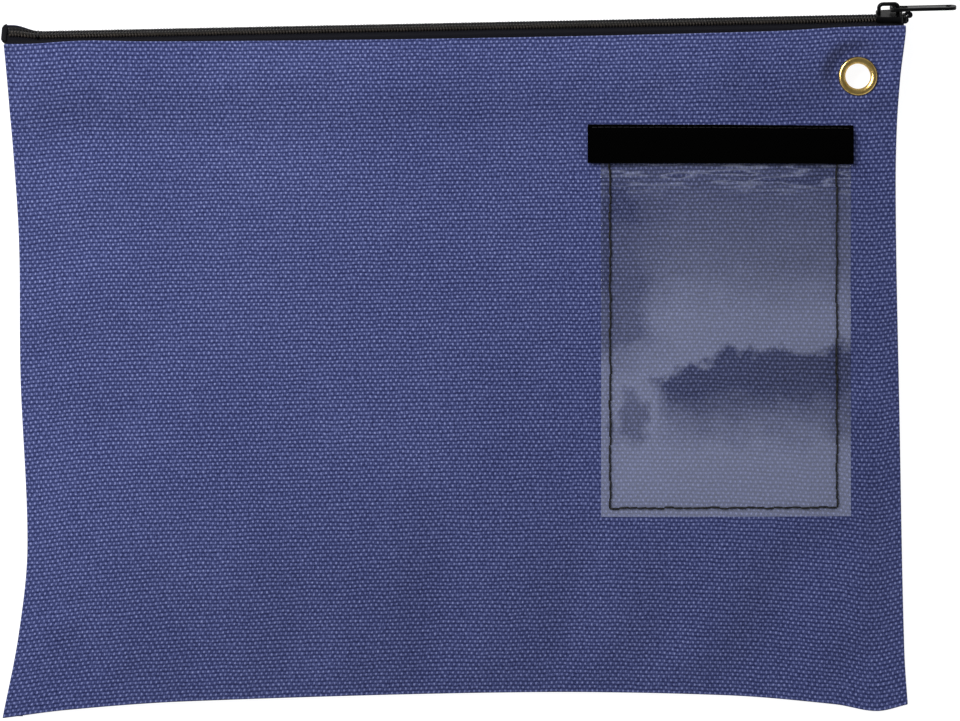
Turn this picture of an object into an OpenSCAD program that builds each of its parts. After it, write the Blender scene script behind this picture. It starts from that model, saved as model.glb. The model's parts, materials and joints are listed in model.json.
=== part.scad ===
// Cash deposit bag: a flat canvas pouch with a zip along its top edge, a clear card window
// with a hook-and-loop flap, and a brass grommet through both panels.
// It lies on its back: +Z is up, +Y points from the bottom seam to the zip, and the origin is
// the middle of the flat of the back panel. Units are millimetres.

/* [Bag] */
// Width of the bag across its bottom corners
bag_w = 457; // [450:1:465]
// Height from the lowest corner to the middle of the zip
bag_h = 347.5; // [340:0.5:355]
// Height of the fullest point of the front above the table
fill_h = 30; // [26:1:34]
// Height of the side and bottom seams above the table
seam_h = 6; // [5:0.5:7]
// Thickness of the canvas
canvas_t = 0.9; // [0.7:0.1:1]
// Width of the bound seam allowance inside the bag
seam_w = 10; // [8:1:12]

/* [Zip] */
// Angle between the zip and the X axis
zip_slope = 1.15; // [0:0.05:1.5]
// Lean of the zip's face from the +Y direction towards +Z
zip_lean = 30; // [28:1:32]
// Height of the middle of the zip above the table
zip_z = 9.6; // [9.4:0.1:10]
// Width of tape that shows on each side of the chain's middle
tape_show = 6.8; // [6.4:0.1:7.2]
// Width of tape sewn behind each canvas edge
tape_sewn = 8; // [7:0.5:8]
// Thickness of the tape
tape_t = 0.6; // [0.4:0.1:0.6]
// Half the width of the chain
chain_half = 3; // [2.9:0.05:3]
// Height of the coils above the tape
coil_h = 2.2; // [2:0.1:2.2]

/* [Slider] */
// Length of the slider
slider_l = 13.4; // [12:0.2:13.4]
// Width of the slider at its shoulders
slider_front_w = 9.6; // [9.2:0.2:10.4]
// Width of the slider at its tail
slider_rear_w = 7.8; // [7.4:0.2:8.6]
// Length of the pull from its pivot to its tip
pull_l = 32.5; // [28:0.5:36]
// Width of the pull
pull_w = 5.2; // [5:0.1:6]
// Radius of the hole in the pull's tip
pull_hole_r = 1.5; // [1.2:0.1:1.6]

/* [Grommet] */
// Radius of the hole through the grommet
grommet_r = 6.3; // [5:0.1:6.5]
// Radius of the grommet's flange
flange_r = 9.9; // [9.6:0.1:10.4]
// Distance of the grommet from the Y axis
grommet_x = 202.5; // [198:0.5:204]
// Distance of the grommet from the X axis
grommet_y = 145.9; // [143:0.1:147]

/* [Card window] */
// Width of the clear sheet
window_w = 126; // [110:1:126]
// Left edge of the clear sheet
window_x = 72.8; // [70:0.2:73]
// Bottom edge of the clear sheet
window_y = -75.5; // [-90:0.5:-60]
// Thickness of the clear sheet
vinyl_t = 0.45; // [0.3:0.05:0.5]
// Width of the flap over the window's open top edge
flap_w = 134.2; // [130:0.2:135]
// Height of the flap, with its sewn edge
flap_h = 19.6; // [19:0.2:21]
// Top edge of the flap
flap_top_y = 121.2; // [120:0.2:122]
// Length of one stitch
stitch_l = 4.4; // [3.6:0.2:5]

/* [Hidden] */
$fn = 48;
gap = 0.25;               // clearance between pieces that lie on each other
fine_gap = 0.1;

// Outline of the bag: how far each edge draws in from its straight nominal line, as
// [share of the edge's length, inset] from the left or the bottom.
left_knots = [[0, 0], [0.12, 8], [0.25, 12.5], [0.5, 9], [0.7, 8.2], [0.86, 4.5], [1, 0.8]];
right_knots = [[0, 0], [0.1, 2.2], [0.43, 4.5], [0.78, 6.5], [0.93, 4.8], [1, 2.2]];
bottom_knots = [[0, 0], [0.07, 4.2], [0.2, 8.5], [0.57, 13], [0.8, 11.5], [0.92, 7],
                [0.965, 3.6], [1, 7]];
zip_y = 169.9;                       // the zip's middle, where it crosses the Y axis
bottom_y = zip_y - bag_h;            // lowest corner
flat_h = bag_h - 2;                  // length over which the side knots are spread
rim_z = seam_h + canvas_t + fine_gap;            // outer face of the front at a seam
front_edge_z = zip_z + tape_show * cos(zip_lean) + fine_gap + canvas_t; // and at the zip
back_edge_z = zip_z - tape_show * cos(zip_lean) - fine_gap - canvas_t;
dome_h = fill_h - rim_z;
edge_lift_w = 35;                    // width of the back's rim that lifts off the table
zip_flat_w = 10.5;                   // width beside the zip that keeps the zip's height
zip_fall_w = 40;                     // width in which it falls to the seams' height
grommet_z = 10.5;                    // where the two panels meet at the grommet
pad_r = 12;                          // flat canvas round the grommet
dimple_r = 20;                       // where the canvas leaves that flat towards the corner
dimple_reach = 1.6;                  // times as far towards the middle of the back
grid_u = 50;
grid_v = 38;

function slope_at(k, i) = let (a = max(i - 1, 0), b = min(i + 1, len(k) - 1))
    (k[b][1] - k[a][1]) / (k[b][0] - k[a][0]);
function knot_before(k, t, i = 0) =
    (i >= len(k) - 2 || t <= k[i + 1][0]) ? i : knot_before(k, t, i + 1);
// Smooth curve through the knots k, at t from 0 to 1
function curve(k, t) = let (c = min(max(t, 0), 1), i = knot_before(k, c),
    h = k[i + 1][0] - k[i][0], s = (c - k[i][0]) / h,
    a = slope_at(k, i) * h, b = slope_at(k, i + 1) * h)
    (2 * s^3 - 3 * s^2 + 1) * k[i][1] + (s^3 - 2 * s^2 + s) * a
    + (3 * s^2 - 2 * s^3) * k[i + 1][1] + (s^3 - s^2) * b;
function smooth(a, b, x) = let (s = min(max((x - a) / (b - a), 0), 1)) s * s * (3 - 2 * s);
function mix(a, b, s) = a + (b - a) * s;

function left_x(y) = -bag_w / 2 + curve(left_knots, (y - bottom_y) / flat_h);
function right_x(y) = bag_w / 2 - curve(right_knots, (y - bottom_y) / flat_h);
function low_y(x) = bottom_y + curve(bottom_knots, x / bag_w + 0.5);
function zip_mid_y(x) = zip_y + x * tan(zip_slope);
function front_top_y(x) = zip_mid_y(x) - tape_show * sin(zip_lean) - fine_gap;
function back_top_y(x) = zip_mid_y(x) + tape_show * sin(zip_lean) - 0.2;

// Share of the fullness at a place, from 0 at the seams to 1 in the middle
function bulge(t, power) = 1 - pow(abs(2 * min(max(t, 0), 1) - 1), power);
// Share of the grommet's height at a place, reach times as wide on the left
function pinch(x, y, reach) = let (d = [x - grommet_x, y - grommet_y])
    1 - smooth(pad_r, dimple_r, norm([d[0] > 0 ? d[0] : d[0] / reach, d[1]]));
// Outer face of the front panel
function front_z(x, y) = let (
    u = (x - left_x(y)) / (right_x(y) - left_x(y)),
    v = (y - low_y(x)) / (front_top_y(x) - low_y(x)),
    zip_near = 1 - smooth(zip_flat_w, zip_flat_w + zip_fall_w, front_top_y(x) - y),
    full = mix(rim_z, front_edge_z, zip_near) + dome_h * bulge(u, 2.2) * bulge(v, 2.4))
    mix(full, grommet_z + fine_gap / 2 + canvas_t, pinch(x, y, 1));
// Outer face of the back panel, flat on the table but for its rim
function rim_lift(d, h) = h * pow(1 - min(max(d, 0), edge_lift_w) / edge_lift_w, 2);
function back_z(x, y) = let (
    side = rim_lift(min(x - left_x(y), right_x(y) - x, y - low_y(x)),
                    seam_h - canvas_t - fine_gap),
    zip_near = 1 - smooth(zip_flat_w, zip_flat_w + zip_fall_w, back_top_y(x) - y),
    full = max(mix(side, min(side, back_edge_z), zip_near),
               rim_lift(back_top_y(x) - y, back_edge_z)))
    mix(full, grommet_z - fine_gap / 2 - canvas_t, pinch(x, y, dimple_reach));

// Grid lines lie closer together near the edges
function spread(t) = mix(t, (1 - cos(180 * t)) / 2, 0.5);
function panel_xy(u, v, front) = let (
    x0 = mix(-bag_w / 2, bag_w / 2, u),
    y = mix(low_y(x0), front ? front_top_y(x0) : back_top_y(x0), v))
    [mix(left_x(y), right_x(y), u), y];

// Closed shell between two sheets of (n + 1) x (m + 1) points each
module shell(top, low, n, m) {
    c = (n + 1) * (m + 1);
    at = function(i, j) i * (m + 1) + j;
    polyhedron(points = concat(top, low), faces = concat(
        [for (i = [0:n - 1], j = [0:m - 1]) each [
            [at(i, j), at(i, j + 1), at(i + 1, j + 1)],
            [at(i, j), at(i + 1, j + 1), at(i + 1, j)],
            [c + at(i, j), c + at(i + 1, j + 1), c + at(i, j + 1)],
            [c + at(i, j), c + at(i + 1, j), c + at(i + 1, j + 1)]]],
        [for (i = [0:n - 1]) each [
            [at(i, 0), at(i + 1, 0), c + at(i, 0)],
            [at(i + 1, 0), c + at(i + 1, 0), c + at(i, 0)],
            [at(i, m), c + at(i, m), at(i + 1, m)],
            [at(i + 1, m), c + at(i, m), c + at(i + 1, m)]]],
        [for (j = [0:m - 1]) each [
            [at(0, j), c + at(0, j), at(0, j + 1)],
            [at(0, j + 1), c + at(0, j), c + at(0, j + 1)],
            [at(n, j), at(n, j + 1), c + at(n, j)],
            [at(n, j + 1), c + at(n, j + 1), c + at(n, j)]]]));
}

module panel(front) {
    xy = [for (i = [0:grid_u], j = [0:grid_v])
        panel_xy(spread(i / grid_u), spread(j / grid_v), front)];
    z = [for (p = xy) front ? front_z(p[0], p[1]) - canvas_t : back_z(p[0], p[1])];
    shell([for (i = [0:len(xy) - 1]) [xy[i][0], xy[i][1], z[i] + canvas_t]],
          [for (i = [0:len(xy) - 1]) [xy[i][0], xy[i][1], z[i]]], grid_u, grid_v);
}

// Panel with the flat round the grommet and the grommet's hole cut through it
module pierced_panel(front) {
    z = front ? grommet_z + fine_gap / 2 : grommet_z - fine_gap / 2 - canvas_t;
    difference() {
        union() {
            difference() {
                panel(front);
                translate([grommet_x, grommet_y, 0]) cylinder(r = flange_r + 0.6, h = fill_h);
            }
            translate([grommet_x, grommet_y, z]) cylinder(r = pad_r, h = canvas_t);
        }
        translate([grommet_x, grommet_y, 0]) cylinder(r = barrel_r + fine_gap, h = fill_h);
    }
}
module front_panel() { color("#48507c") pierced_panel(true); }
module back_panel() { color("#48507c") pierced_panel(false); }

// Turned-in canvas edges of a seam, bound with tape, between the two panels
binding_h = 3.2;
function binding_z(x, y) = let (
    low = back_z(x, y) + canvas_t + gap,
    top = front_z(x, y) - canvas_t - gap,
    near = smooth(50, 12, front_top_y(x) - y),
    half = mix(binding_h, top - low, near) / 2,
    mid = mix(seam_h, (top + low) / 2, near))
    [min(top, mid + half), max(low, mid - half)];
module binding(line_a, line_b) {
    xy = concat(line_a, line_b);
    shell([for (p = xy) [p[0], p[1], binding_z(p[0], p[1])[0]]],
          [for (p = xy) [p[0], p[1], binding_z(p[0], p[1])[1]]], 1, len(line_a) - 1);
}
seam_steps = 40;
function side_y(x, i) = mix(low_y(x) + 1, zip_mid_y(x) - zip_corner_y - gap, i / seam_steps);
function side_line(side, d) = [for (i = [0:seam_steps]) let (
    y = side_y(side * bag_w / 2, i)) [side < 0 ? left_x(y) + d : right_x(y) - d, y]];
module left_seam_binding() {
    color("#20242e") binding(side_line(-1, 0.5), side_line(-1, seam_w));
}
module right_seam_binding() {
    color("#20242e") binding(side_line(1, seam_w), side_line(1, 0.5));
}
function bottom_line(d) = [for (i = [0:seam_steps]) let (
    inset = seam_w + 1.5,
    x = mix(left_x(bottom_y + d) + inset, right_x(bottom_y + d) - inset, i / seam_steps))
    [x, low_y(x) + d]];
module bottom_seam_binding() {
    color("#20242e") binding(bottom_line(seam_w), bottom_line(0.5));
}

// Places children in the zip's frame: X along the zip, Y out of its face, Z across it
module on_zip(x = 0) {
    translate([0, zip_y, zip_z]) rotate([0, 0, zip_slope]) translate([x, 0, 0])
        rotate([zip_lean, 0, 0]) children();
}
// Extrudes a [y, z] outline along the zip without leaning it, from x to x + length
module along_zip(x, length, points) {
    translate([0, zip_y, zip_z]) rotate([0, 0, zip_slope]) translate([x, 0, 0])
        rotate([90, 0, 90]) linear_extrude(length) polygon(points);
}
// Point at w across the zip and n out of its face, as [y, z] from the zip's middle
function leaned(w, n) = [n * cos(zip_lean) - w * sin(zip_lean),
                         w * cos(zip_lean) + n * sin(zip_lean)];
zip_x0 = -227;
zip_x1 = 227.3;
chain_x0 = -221.4;
chain_x1 = 225.4;
stop_x = -209;                       // right face of the bottom stop
stop_l = 2.4;
slot = 0.5;                          // half the gap between the two halves of the chain
zip_corner_y = 12.6;                 // depth of the closed corner below the zip's middle

// The front tape is cut back beside the grommet
module zip_tape_front() {
    edge = leaned(tape_show, 0);
    cut = 4.5;
    color("#1b1c20") difference() {
        along_zip(zip_x0, zip_x1 - zip_x0, [
            leaned(slot, 0), edge, edge - [tape_sewn, 0], edge - [tape_sewn, tape_t],
            leaned(tape_show - 0.35, -tape_t), leaned(slot, -tape_t)]);
        along_zip(grommet_x - dimple_r, bag_w, [
            edge - [cut, 1], edge - [cut, -1], edge - [tape_sewn + 1, -1],
            edge - [tape_sewn + 1, 1]]);
    }
}
module zip_tape_back() {
    edge = leaned(-tape_show, 0);
    color("#1b1c20") along_zip(zip_x0, zip_x1 - zip_x0, [
        leaned(-slot, 0), leaned(-slot, -tape_t), leaned(0.98 - tape_show, -tape_t),
        edge + [-tape_sewn, tape_t], edge - [tape_sewn, 0], edge]);
}
module coil(side) {
    on_zip() translate([chain_x0, fine_gap / 2, side < 0 ? -chain_half : slot])
        cube([chain_x1 - chain_x0, coil_h, chain_half - slot]);
}
module zip_coil_front() { color("#26262a") coil(1); }
module zip_coil_back() { color("#26262a") coil(-1); }
// One row of sewing thread along the top of each coil
module coil_threads() {
    thread_w = 1.1;
    color("#4a4438") for (side = [-1, 1])
        on_zip() translate([chain_x0 + 1, coil_h + fine_gap, side * 2.05 - thread_w / 2])
            cube([chain_x1 - chain_x0 - 2, 0.14, thread_w]);
}
// Lockstitches that hold each tape to its canvas edge, on the inner face of the tape
module zip_seam_stitches() {
    pitch = 8;
    length = 6.4;
    thick = 0.4;
    in_edge = 3.6;
    front = leaned(tape_show, 0) + [-in_edge, -tape_t - thick - 0.05];
    back = leaned(-tape_show, 0) + [-in_edge, tape_t + 0.1];
    color("#15161a") for (x = [-208:pitch:206], at = [front, back])
        along_zip(x, length, [at, at + [0.6, 0], at + [0.6, thick], at + [0, thick]]);
}
module zip_top_stops() {
    color("#303034") for (side = [-1, 1])
        on_zip() translate([chain_x1 + fine_gap, fine_gap / 2, side > 0 ? slot : -3.1])
            cube([1.6, 2.5, 3.1 - slot]);
}
// Staple across the chain, short of its cut end
module zip_bottom_stop() {
    inner = [fine_gap / 2, coil_h + 0.45, chain_half + fine_gap / 2];
    wall = 0.7;
    color("#303034") on_zip(stop_x - stop_l) rotate([90, 0, 90]) linear_extrude(stop_l)
        polygon([
            [inner[0], -inner[2]], [inner[1], -inner[2]], [inner[1], inner[2]],
            [inner[0], inner[2]], [inner[0], inner[2] + wall],
            [inner[1] + wall, inner[2] + wall], [inner[1] + wall, -inner[2] - wall],
            [inner[0], -inner[2] - wall]]);
}
// Fabric end of the zip: it closes the corner behind the tapes and folds over their end
corner_x = 1.2;
module zip_end(x, fold_x, fold_l, fold_h) {
    inner_w = tape_show - 1.1;
    along_zip(x, corner_x, [
        leaned(-inner_w, -tape_t - gap) + [-0.6, 0.2], leaned(inner_w, -tape_t - gap),
        [-zip_corner_y, leaned(inner_w, -tape_t - gap)[1]],
        [-zip_corner_y, leaned(-inner_w, -tape_t - gap)[1] + 0.2]]);
    along_zip(fold_x, fold_l, [
        leaned(-tape_show, fold_h), leaned(tape_show, fold_h), leaned(tape_show, -2),
        [-zip_corner_y, leaned(inner_w, -tape_t - gap)[1]],
        [-zip_corner_y, leaned(-inner_w, -tape_t - gap)[1] + 0.2],
        leaned(-inner_w, -2)]);
}
module zip_end_left() { color("#17181c") zip_end(zip_x0 - 0.1, zip_x0 - 2.2, 2.1, 2.6); }
module zip_end_right() {
    color("#17181c") zip_end(zip_x1 - corner_x + 0.1, zip_x1 + 0.1, 2.6, 4.9);
}

// Slider: two shields joined by a keel, with a crown that holds the pull
slider_x = 218.4;                    // middle of the slider when the bag is shut
shield_t = 1.15;
channel_top = coil_h + 0.4;
channel_low = -tape_t - 0.3;
pivot_x = 1.2;                       // pull's pivot, from the middle of the slider
pivot_n = 6.2;
pull_tilt = 10;                      // play of the pull's cross bar in the crown
function arc(c, r, a0, a1, steps = 6) =
    [for (i = [0:steps]) let (a = mix(a0, a1, i / steps)) c + r * [cos(a), sin(a)]];
function shield_outline() = let (h = slider_l / 2, f = slider_front_w / 2,
    r = slider_rear_w / 2, q = 1.2)
    concat(arc([h - q, f - q], q, 0, 90), arc([-h + q, r - q], q, 90, 180),
           arc([-h + q, q - r], q, 180, 270), arc([h - q, q - f], q, 270, 360));
// Extrudes an [x, w] outline out of the zip's face, from n to n + height
module shield(n, height) {
    translate([0, n, 0]) rotate([-90, 0, 0]) linear_extrude(height) mirror([0, 1]) children();
}
module crown_outline(x0, x1, n0, n1, r) {
    polygon(concat([[x0, n0]], [[x1, n0]], arc([x1 - r, n1 - r], r, 0, 90),
                   arc([x0 + r, n1 - r], r, 90, 180)));
}
module slider_body() {
    crown_w = 1.7;
    rear = -5.9;
    front = 4.9;
    wall = 1.2;
    round_r = 2.6;
    crown_n = channel_top + shield_t + 5.8;
    color("#1d1d20") on_zip(slider_x) {
        shield(channel_top, shield_t) polygon(shield_outline());
        shield(channel_low - shield_t, shield_t) polygon(shield_outline());
        // Lips down both sides keep the coils in the channel
        shield(0.35, channel_top - 0.25) difference() {
            polygon(shield_outline());
            square([slider_l * 2, 2 * (chain_half + 0.15)], center = true);
        }
        // Keel between the two halves of the chain
        shield(channel_low - 0.2, channel_top - channel_low + 0.4)
            translate([1.4, -0.38]) square([slider_l / 2 - 2.2, 0.76]);
        // Crown over the pull's cross bar
        translate([0, 0, -crown_w / 2]) linear_extrude(crown_w) difference() {
            crown_outline(rear, front, channel_top + 0.5, crown_n, round_r);
            crown_outline(rear + wall, front - wall, channel_top + shield_t,
                          crown_n - wall, round_r - wall);
        }
    }
}
// Pull: a cross bar under the crown, two arms beside it, and a tab with a hole in its tip
module slider_pull() {
    bar_r = 0.7;
    pull_t = 1;
    arm_w = 1.1;
    tab_x = 7.9;
    hole_x = pull_l - 4;
    color("#232326") on_zip(slider_x + pivot_x) translate([0, pivot_n, 0])
        rotate([-pull_tilt, 0, 0]) {
        translate([0, 0, -pull_w / 2]) cylinder(r = bar_r, h = pull_w);
        for (side = [-1, 1])
            translate([0, -pull_t / 2, side > 0 ? pull_w / 2 - arm_w : -pull_w / 2])
                cube([tab_x + 0.5, pull_t, arm_w]);
        translate([0, -pull_t / 2, 0]) rotate([-90, 0, 0]) linear_extrude(pull_t)
            difference() {
                union() {
                    translate([tab_x, -pull_w / 2])
                        square([pull_l - pull_w / 2 - tab_x, pull_w]);
                    translate([pull_l - pull_w / 2, 0]) circle(r = pull_w / 2);
                }
                translate([hole_x, 0]) circle(r = pull_hole_r);
            }
    }
}

// Grommet: an eyelet from the front, rolled over a washer at the back
barrel_r = grommet_r + 0.7;
grommet_top = grommet_z + canvas_t + fine_gap;
grommet_low = grommet_z - canvas_t - fine_gap;
module grommet_eyelet() {
    flange_h = 1.5;
    tail = 1.5;
    color("#b08d3c") translate([grommet_x, grommet_y, 0]) rotate_extrude()
        polygon([
            [grommet_r, grommet_low - tail], [grommet_r, grommet_top + flange_h - 0.1],
            [grommet_r + 0.5, grommet_top + flange_h], [flange_r - 1.4, grommet_top + 1.2],
            [flange_r - 0.3, grommet_top + 0.5], [flange_r, grommet_top],
            [barrel_r, grommet_top], [barrel_r, grommet_low - 0.75],
            [barrel_r + 0.9, grommet_low - 0.75], [barrel_r + 0.5, grommet_low - tail]]);
}
module grommet_washer() {
    color("#a88538") translate([grommet_x, grommet_y, 0]) rotate_extrude()
        polygon([
            [barrel_r + 0.05, grommet_low], [flange_r, grommet_low],
            [flange_r, grommet_low - 0.4], [flange_r - 0.6, grommet_low - 0.7],
            [barrel_r + 0.05, grommet_low - 0.7]]);
}

// Plate that follows the front panel: base above the canvas, thick, over a rectangle
module patch(x0, x1, y0, y1, base, thick, n = 12, m = 12) {
    xy = [for (i = [0:n], j = [0:m]) [mix(x0, x1, i / n), mix(y0, y1, j / m)]];
    shell([for (p = xy) [p[0], p[1], front_z(p[0], p[1]) + base + thick]],
          [for (p = xy) [p[0], p[1], front_z(p[0], p[1]) + base]], n, m);
}
// One stitch lying from a to b
module stitch(a, b, r) {
    d = b - a;
    translate(a) rotate([0, acos(d[2] / norm(d)), atan2(d[1], d[0])])
        cylinder(r = r, h = norm(d), $fn = 16);
}
// Row of stitches from a to b over the front panel, base above the canvas
module stitch_row(a, b, base, r) {
    count = round(norm(b - a) / stitch_l);
    space = 0.5 / norm(b - a);
    at = function(s) let (p = mix(a, b, s)) [p[0], p[1], front_z(p[0], p[1]) + base + r];
    for (i = [0:count - 1]) stitch(at(i / count + space), at((i + 1) / count - space), r);
}
sheet_base = gap;
sheet_top = sheet_base + vinyl_t;
window_top_y = 113.6;
hinge_y = flap_top_y - 4;
flap_low_y = flap_top_y - flap_h;
flap_x = 66.2;                       // left end of the flap
strip_t = 0.6;
loop_base = sheet_top + fine_gap;
hook_base = loop_base + strip_t + fine_gap;
flap_base = hook_base + strip_t + fine_gap;
flap_t = 0.9;
module window_sheet() {
    color("#aab2c4", 0.45) patch(window_x, window_x + window_w, window_y, window_top_y,
                                 sheet_base, vinyl_t, 16, 20);
}
module window_stitches() {
    seam = 4.5;
    right_seam = 7.2;
    thread_r = 0.4;
    low = [window_x + seam, window_y + seam];
    low_right = [window_x + window_w - right_seam, window_y + seam];
    top = [window_x + seam, flap_low_y - 0.4];
    top_right = [window_x + window_w - right_seam, flap_low_y - 0.4];
    base = sheet_top + 0.06;
    color("#0c0c10") {
        stitch_row(top, low, base, thread_r);
        stitch_row(low + [0.9, 0], low_right - [0.9, 0], base, thread_r);
        stitch_row(low_right, top_right, base, thread_r);
    }
}
module window_loop_strip() {
    color("#101014") patch(window_x + 1, window_x + window_w - 1, flap_low_y + 1.5,
                           window_top_y - 0.8, loop_base, strip_t, 12, 3);
}
module flap_hook_strip() {
    color("#101014") patch(window_x + 1, window_x + window_w - 1, flap_low_y + 1.5,
                           window_top_y - 0.8, hook_base, strip_t, 12, 3);
}
module window_flap() {
    color("#08080a") patch(flap_x, flap_x + flap_w, flap_low_y, hinge_y - 0.2,
                           flap_base, flap_t, 12, 4);
}
module flap_sewn_edge() {
    color("#08080a") patch(flap_x, flap_x + flap_w, hinge_y + 0.2, flap_top_y,
                           gap, flap_base + flap_t - gap, 12, 2);
}
module flap_stitches() {
    y = flap_top_y - 1.7;
    color("#050506") stitch_row([flap_x + 2, y], [flap_x + flap_w - 2, y],
                                flap_base + flap_t + 0.06, 0.22);
}

front_panel();
back_panel();
left_seam_binding();
right_seam_binding();
bottom_seam_binding();
zip_tape_front();
zip_tape_back();
zip_coil_front();
zip_coil_back();
coil_threads();
zip_seam_stitches();
zip_top_stops();
zip_bottom_stop();
zip_end_left();
zip_end_right();
slider_body();
slider_pull();
grommet_eyelet();
grommet_washer();
window_sheet();
window_stitches();
window_loop_strip();
flap_hook_strip();
window_flap();
flap_sewn_edge();
flap_stitches();
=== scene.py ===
import json
import math

import bmesh
import bpy
import numpy as np
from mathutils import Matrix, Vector
from mathutils.bvhtree import BVHTree


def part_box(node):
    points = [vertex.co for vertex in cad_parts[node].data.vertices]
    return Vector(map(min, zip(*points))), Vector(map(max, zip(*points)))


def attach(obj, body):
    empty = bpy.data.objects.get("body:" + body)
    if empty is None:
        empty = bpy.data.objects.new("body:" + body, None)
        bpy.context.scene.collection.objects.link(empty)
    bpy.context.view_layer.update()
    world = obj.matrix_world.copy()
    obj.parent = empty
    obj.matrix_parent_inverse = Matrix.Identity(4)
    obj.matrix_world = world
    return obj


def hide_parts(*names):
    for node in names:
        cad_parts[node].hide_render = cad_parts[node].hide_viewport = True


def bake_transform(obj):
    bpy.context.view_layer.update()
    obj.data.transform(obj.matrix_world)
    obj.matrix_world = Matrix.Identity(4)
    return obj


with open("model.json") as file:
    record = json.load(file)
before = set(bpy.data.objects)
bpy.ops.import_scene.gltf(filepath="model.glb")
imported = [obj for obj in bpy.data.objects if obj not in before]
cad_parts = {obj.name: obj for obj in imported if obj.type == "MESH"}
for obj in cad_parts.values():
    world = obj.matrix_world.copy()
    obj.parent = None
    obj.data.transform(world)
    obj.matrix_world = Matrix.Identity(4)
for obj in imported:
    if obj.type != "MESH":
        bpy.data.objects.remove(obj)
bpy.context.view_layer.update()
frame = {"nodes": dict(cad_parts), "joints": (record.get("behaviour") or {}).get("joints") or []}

scene = bpy.context.scene
nodes = frame["nodes"]
joints = {j["name"]: j for j in frame["joints"]}


# ---------------------------------------------------------------------------------------------
# Camera, floor and light. The bag lies on its back on a white table, seen square on from above
# through a long lens, under one big soft light from the upper left, in a pale room.
# ---------------------------------------------------------------------------------------------
VIEW_WIDTH = 0.483
CAMERA_HEIGHT = 2.6
CAMERA_AT = (0.0123, 0.0028)
SENSOR = 36.0
SUBJECT_HEIGHT = 0.012

camera = bpy.data.objects.new("camera", bpy.data.cameras.new("camera"))
camera.data.sensor_width = SENSOR
camera.data.lens = SENSOR * (CAMERA_HEIGHT - SUBJECT_HEIGHT) / VIEW_WIDTH
camera.data.clip_end = 50
camera.location = (*CAMERA_AT, CAMERA_HEIGHT)
scene.collection.objects.link(camera)
scene.camera = camera
scene.view_settings.view_transform = "Standard"


LIGHT_AT, LIGHT_TARGET = Vector((-0.75, 0.68, 1.25)), Vector((-0.05, 0.03, 0))
light = bpy.data.lights.new("key_light", "AREA")
light.shape = "SQUARE"
light.size = 0.9
light.energy = 31
light_box = bpy.data.objects.new("key_light", light)
light_box.location = LIGHT_AT
light_box.rotation_euler = (LIGHT_TARGET - LIGHT_AT).to_track_quat("-Z", "Y").to_euler()
scene.collection.objects.link(light_box)

# The room is brightest near the horizon and darkest overhead, so rims shine and faces stay deep
ROOM_LEVELS = ((0.05, 1.0), (0.5, 0.42), (0.95, 0.16))
world = bpy.data.worlds.new("studio")
world.use_nodes = True
sky = world.node_tree
up = sky.nodes.new("ShaderNodeSeparateXYZ")
shade = sky.nodes.new("ShaderNodeValToRGB")
sky.links.new(sky.nodes.new("ShaderNodeTexCoord").outputs["Generated"], up.inputs[0])
sky.links.new(up.outputs[2], shade.inputs[0])
levels = shade.color_ramp.elements
levels.new(0.5)
for level, (height, value) in zip(levels, ROOM_LEVELS):
    level.position = height
    level.color = (value * 0.95, value * 0.97, value, 1)
sky.links.new(shade.outputs[0], sky.nodes["Background"].inputs["Color"])
sky.nodes["Background"].inputs["Strength"].default_value = 1.2
scene.world = world


class Wires:
    """A material's node tree, with short calls for the nodes that the finishes here use."""

    def __init__(self, name):
        self.material = bpy.data.materials.new(name)
        self.material.use_nodes = True
        self.tree = self.material.node_tree
        self.shader = self.tree.nodes["Principled BSDF"]

    def node(self, kind, **settings):
        made = self.tree.nodes.new(kind)
        for key, value in settings.items():
            setattr(made, key, value)
        return made

    def put(self, socket, value):
        if isinstance(value, bpy.types.NodeSocket):
            self.tree.links.new(value, socket)
        else:
            socket.default_value = value

    def math(self, operation, a, b=0.0, c=None):
        made = self.node("ShaderNodeMath", operation=operation)
        self.put(made.inputs[0], a)
        self.put(made.inputs[1], b)
        if c is not None:
            self.put(made.inputs[2], c)
        return made.outputs[0]

    def spread(self, value, low, high, to_low=0.0, to_high=1.0):
        """value from low..high to to_low..to_high, held at both ends."""
        made = self.node("ShaderNodeMapRange", clamp=True)
        for socket, number in zip(made.inputs[:5], (value, low, high, to_low, to_high)):
            self.put(socket, number)
        return made.outputs[0]

    def place(self, uv=None, scale=(1, 1, 1)):
        """Object coordinates, or the piece's own map called uv, times scale."""
        if uv:
            source = self.node("ShaderNodeUVMap", uv_map=uv).outputs[0]
        else:
            source = self.node("ShaderNodeTexCoord").outputs["Object"]
        mapping = self.node("ShaderNodeMapping")
        self.put(mapping.inputs["Vector"], source)
        mapping.inputs["Scale"].default_value = scale
        return mapping.outputs[0]

    def noise(self, place, scale, detail=2.0, roughness=0.5):
        made = self.node("ShaderNodeTexNoise")
        self.put(made.inputs["Vector"], place)
        made.inputs["Scale"].default_value = scale
        made.inputs["Detail"].default_value = detail
        made.inputs["Roughness"].default_value = roughness
        return made.outputs["Fac"]

    def ramp(self, value, stops):
        made = self.node("ShaderNodeValToRGB")
        self.put(made.inputs[0], value)
        bar = made.color_ramp.elements
        while len(bar) < len(stops):
            bar.new(0.5)
        for element, (at, colour) in zip(bar, stops):
            element.position = at
            element.color = (*colour, 1)
        return made.outputs[0]

    def mix(self, share, a, b):
        made = self.node("ShaderNodeMix", data_type="RGBA")
        self.put(made.inputs["Factor"], share)
        self.put(made.inputs[6], a)
        self.put(made.inputs[7], b)
        return made.outputs[2]

    def bump(self, height, distance):
        made = self.node("ShaderNodeBump")
        self.put(made.inputs["Height"], height)
        made.inputs["Distance"].default_value = distance
        return made.outputs[0]

    def finish(self, **sockets):
        for name, value in sockets.items():
            self.put(self.shader.inputs[name.replace("_", " ")], value)
        return self.material


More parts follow.
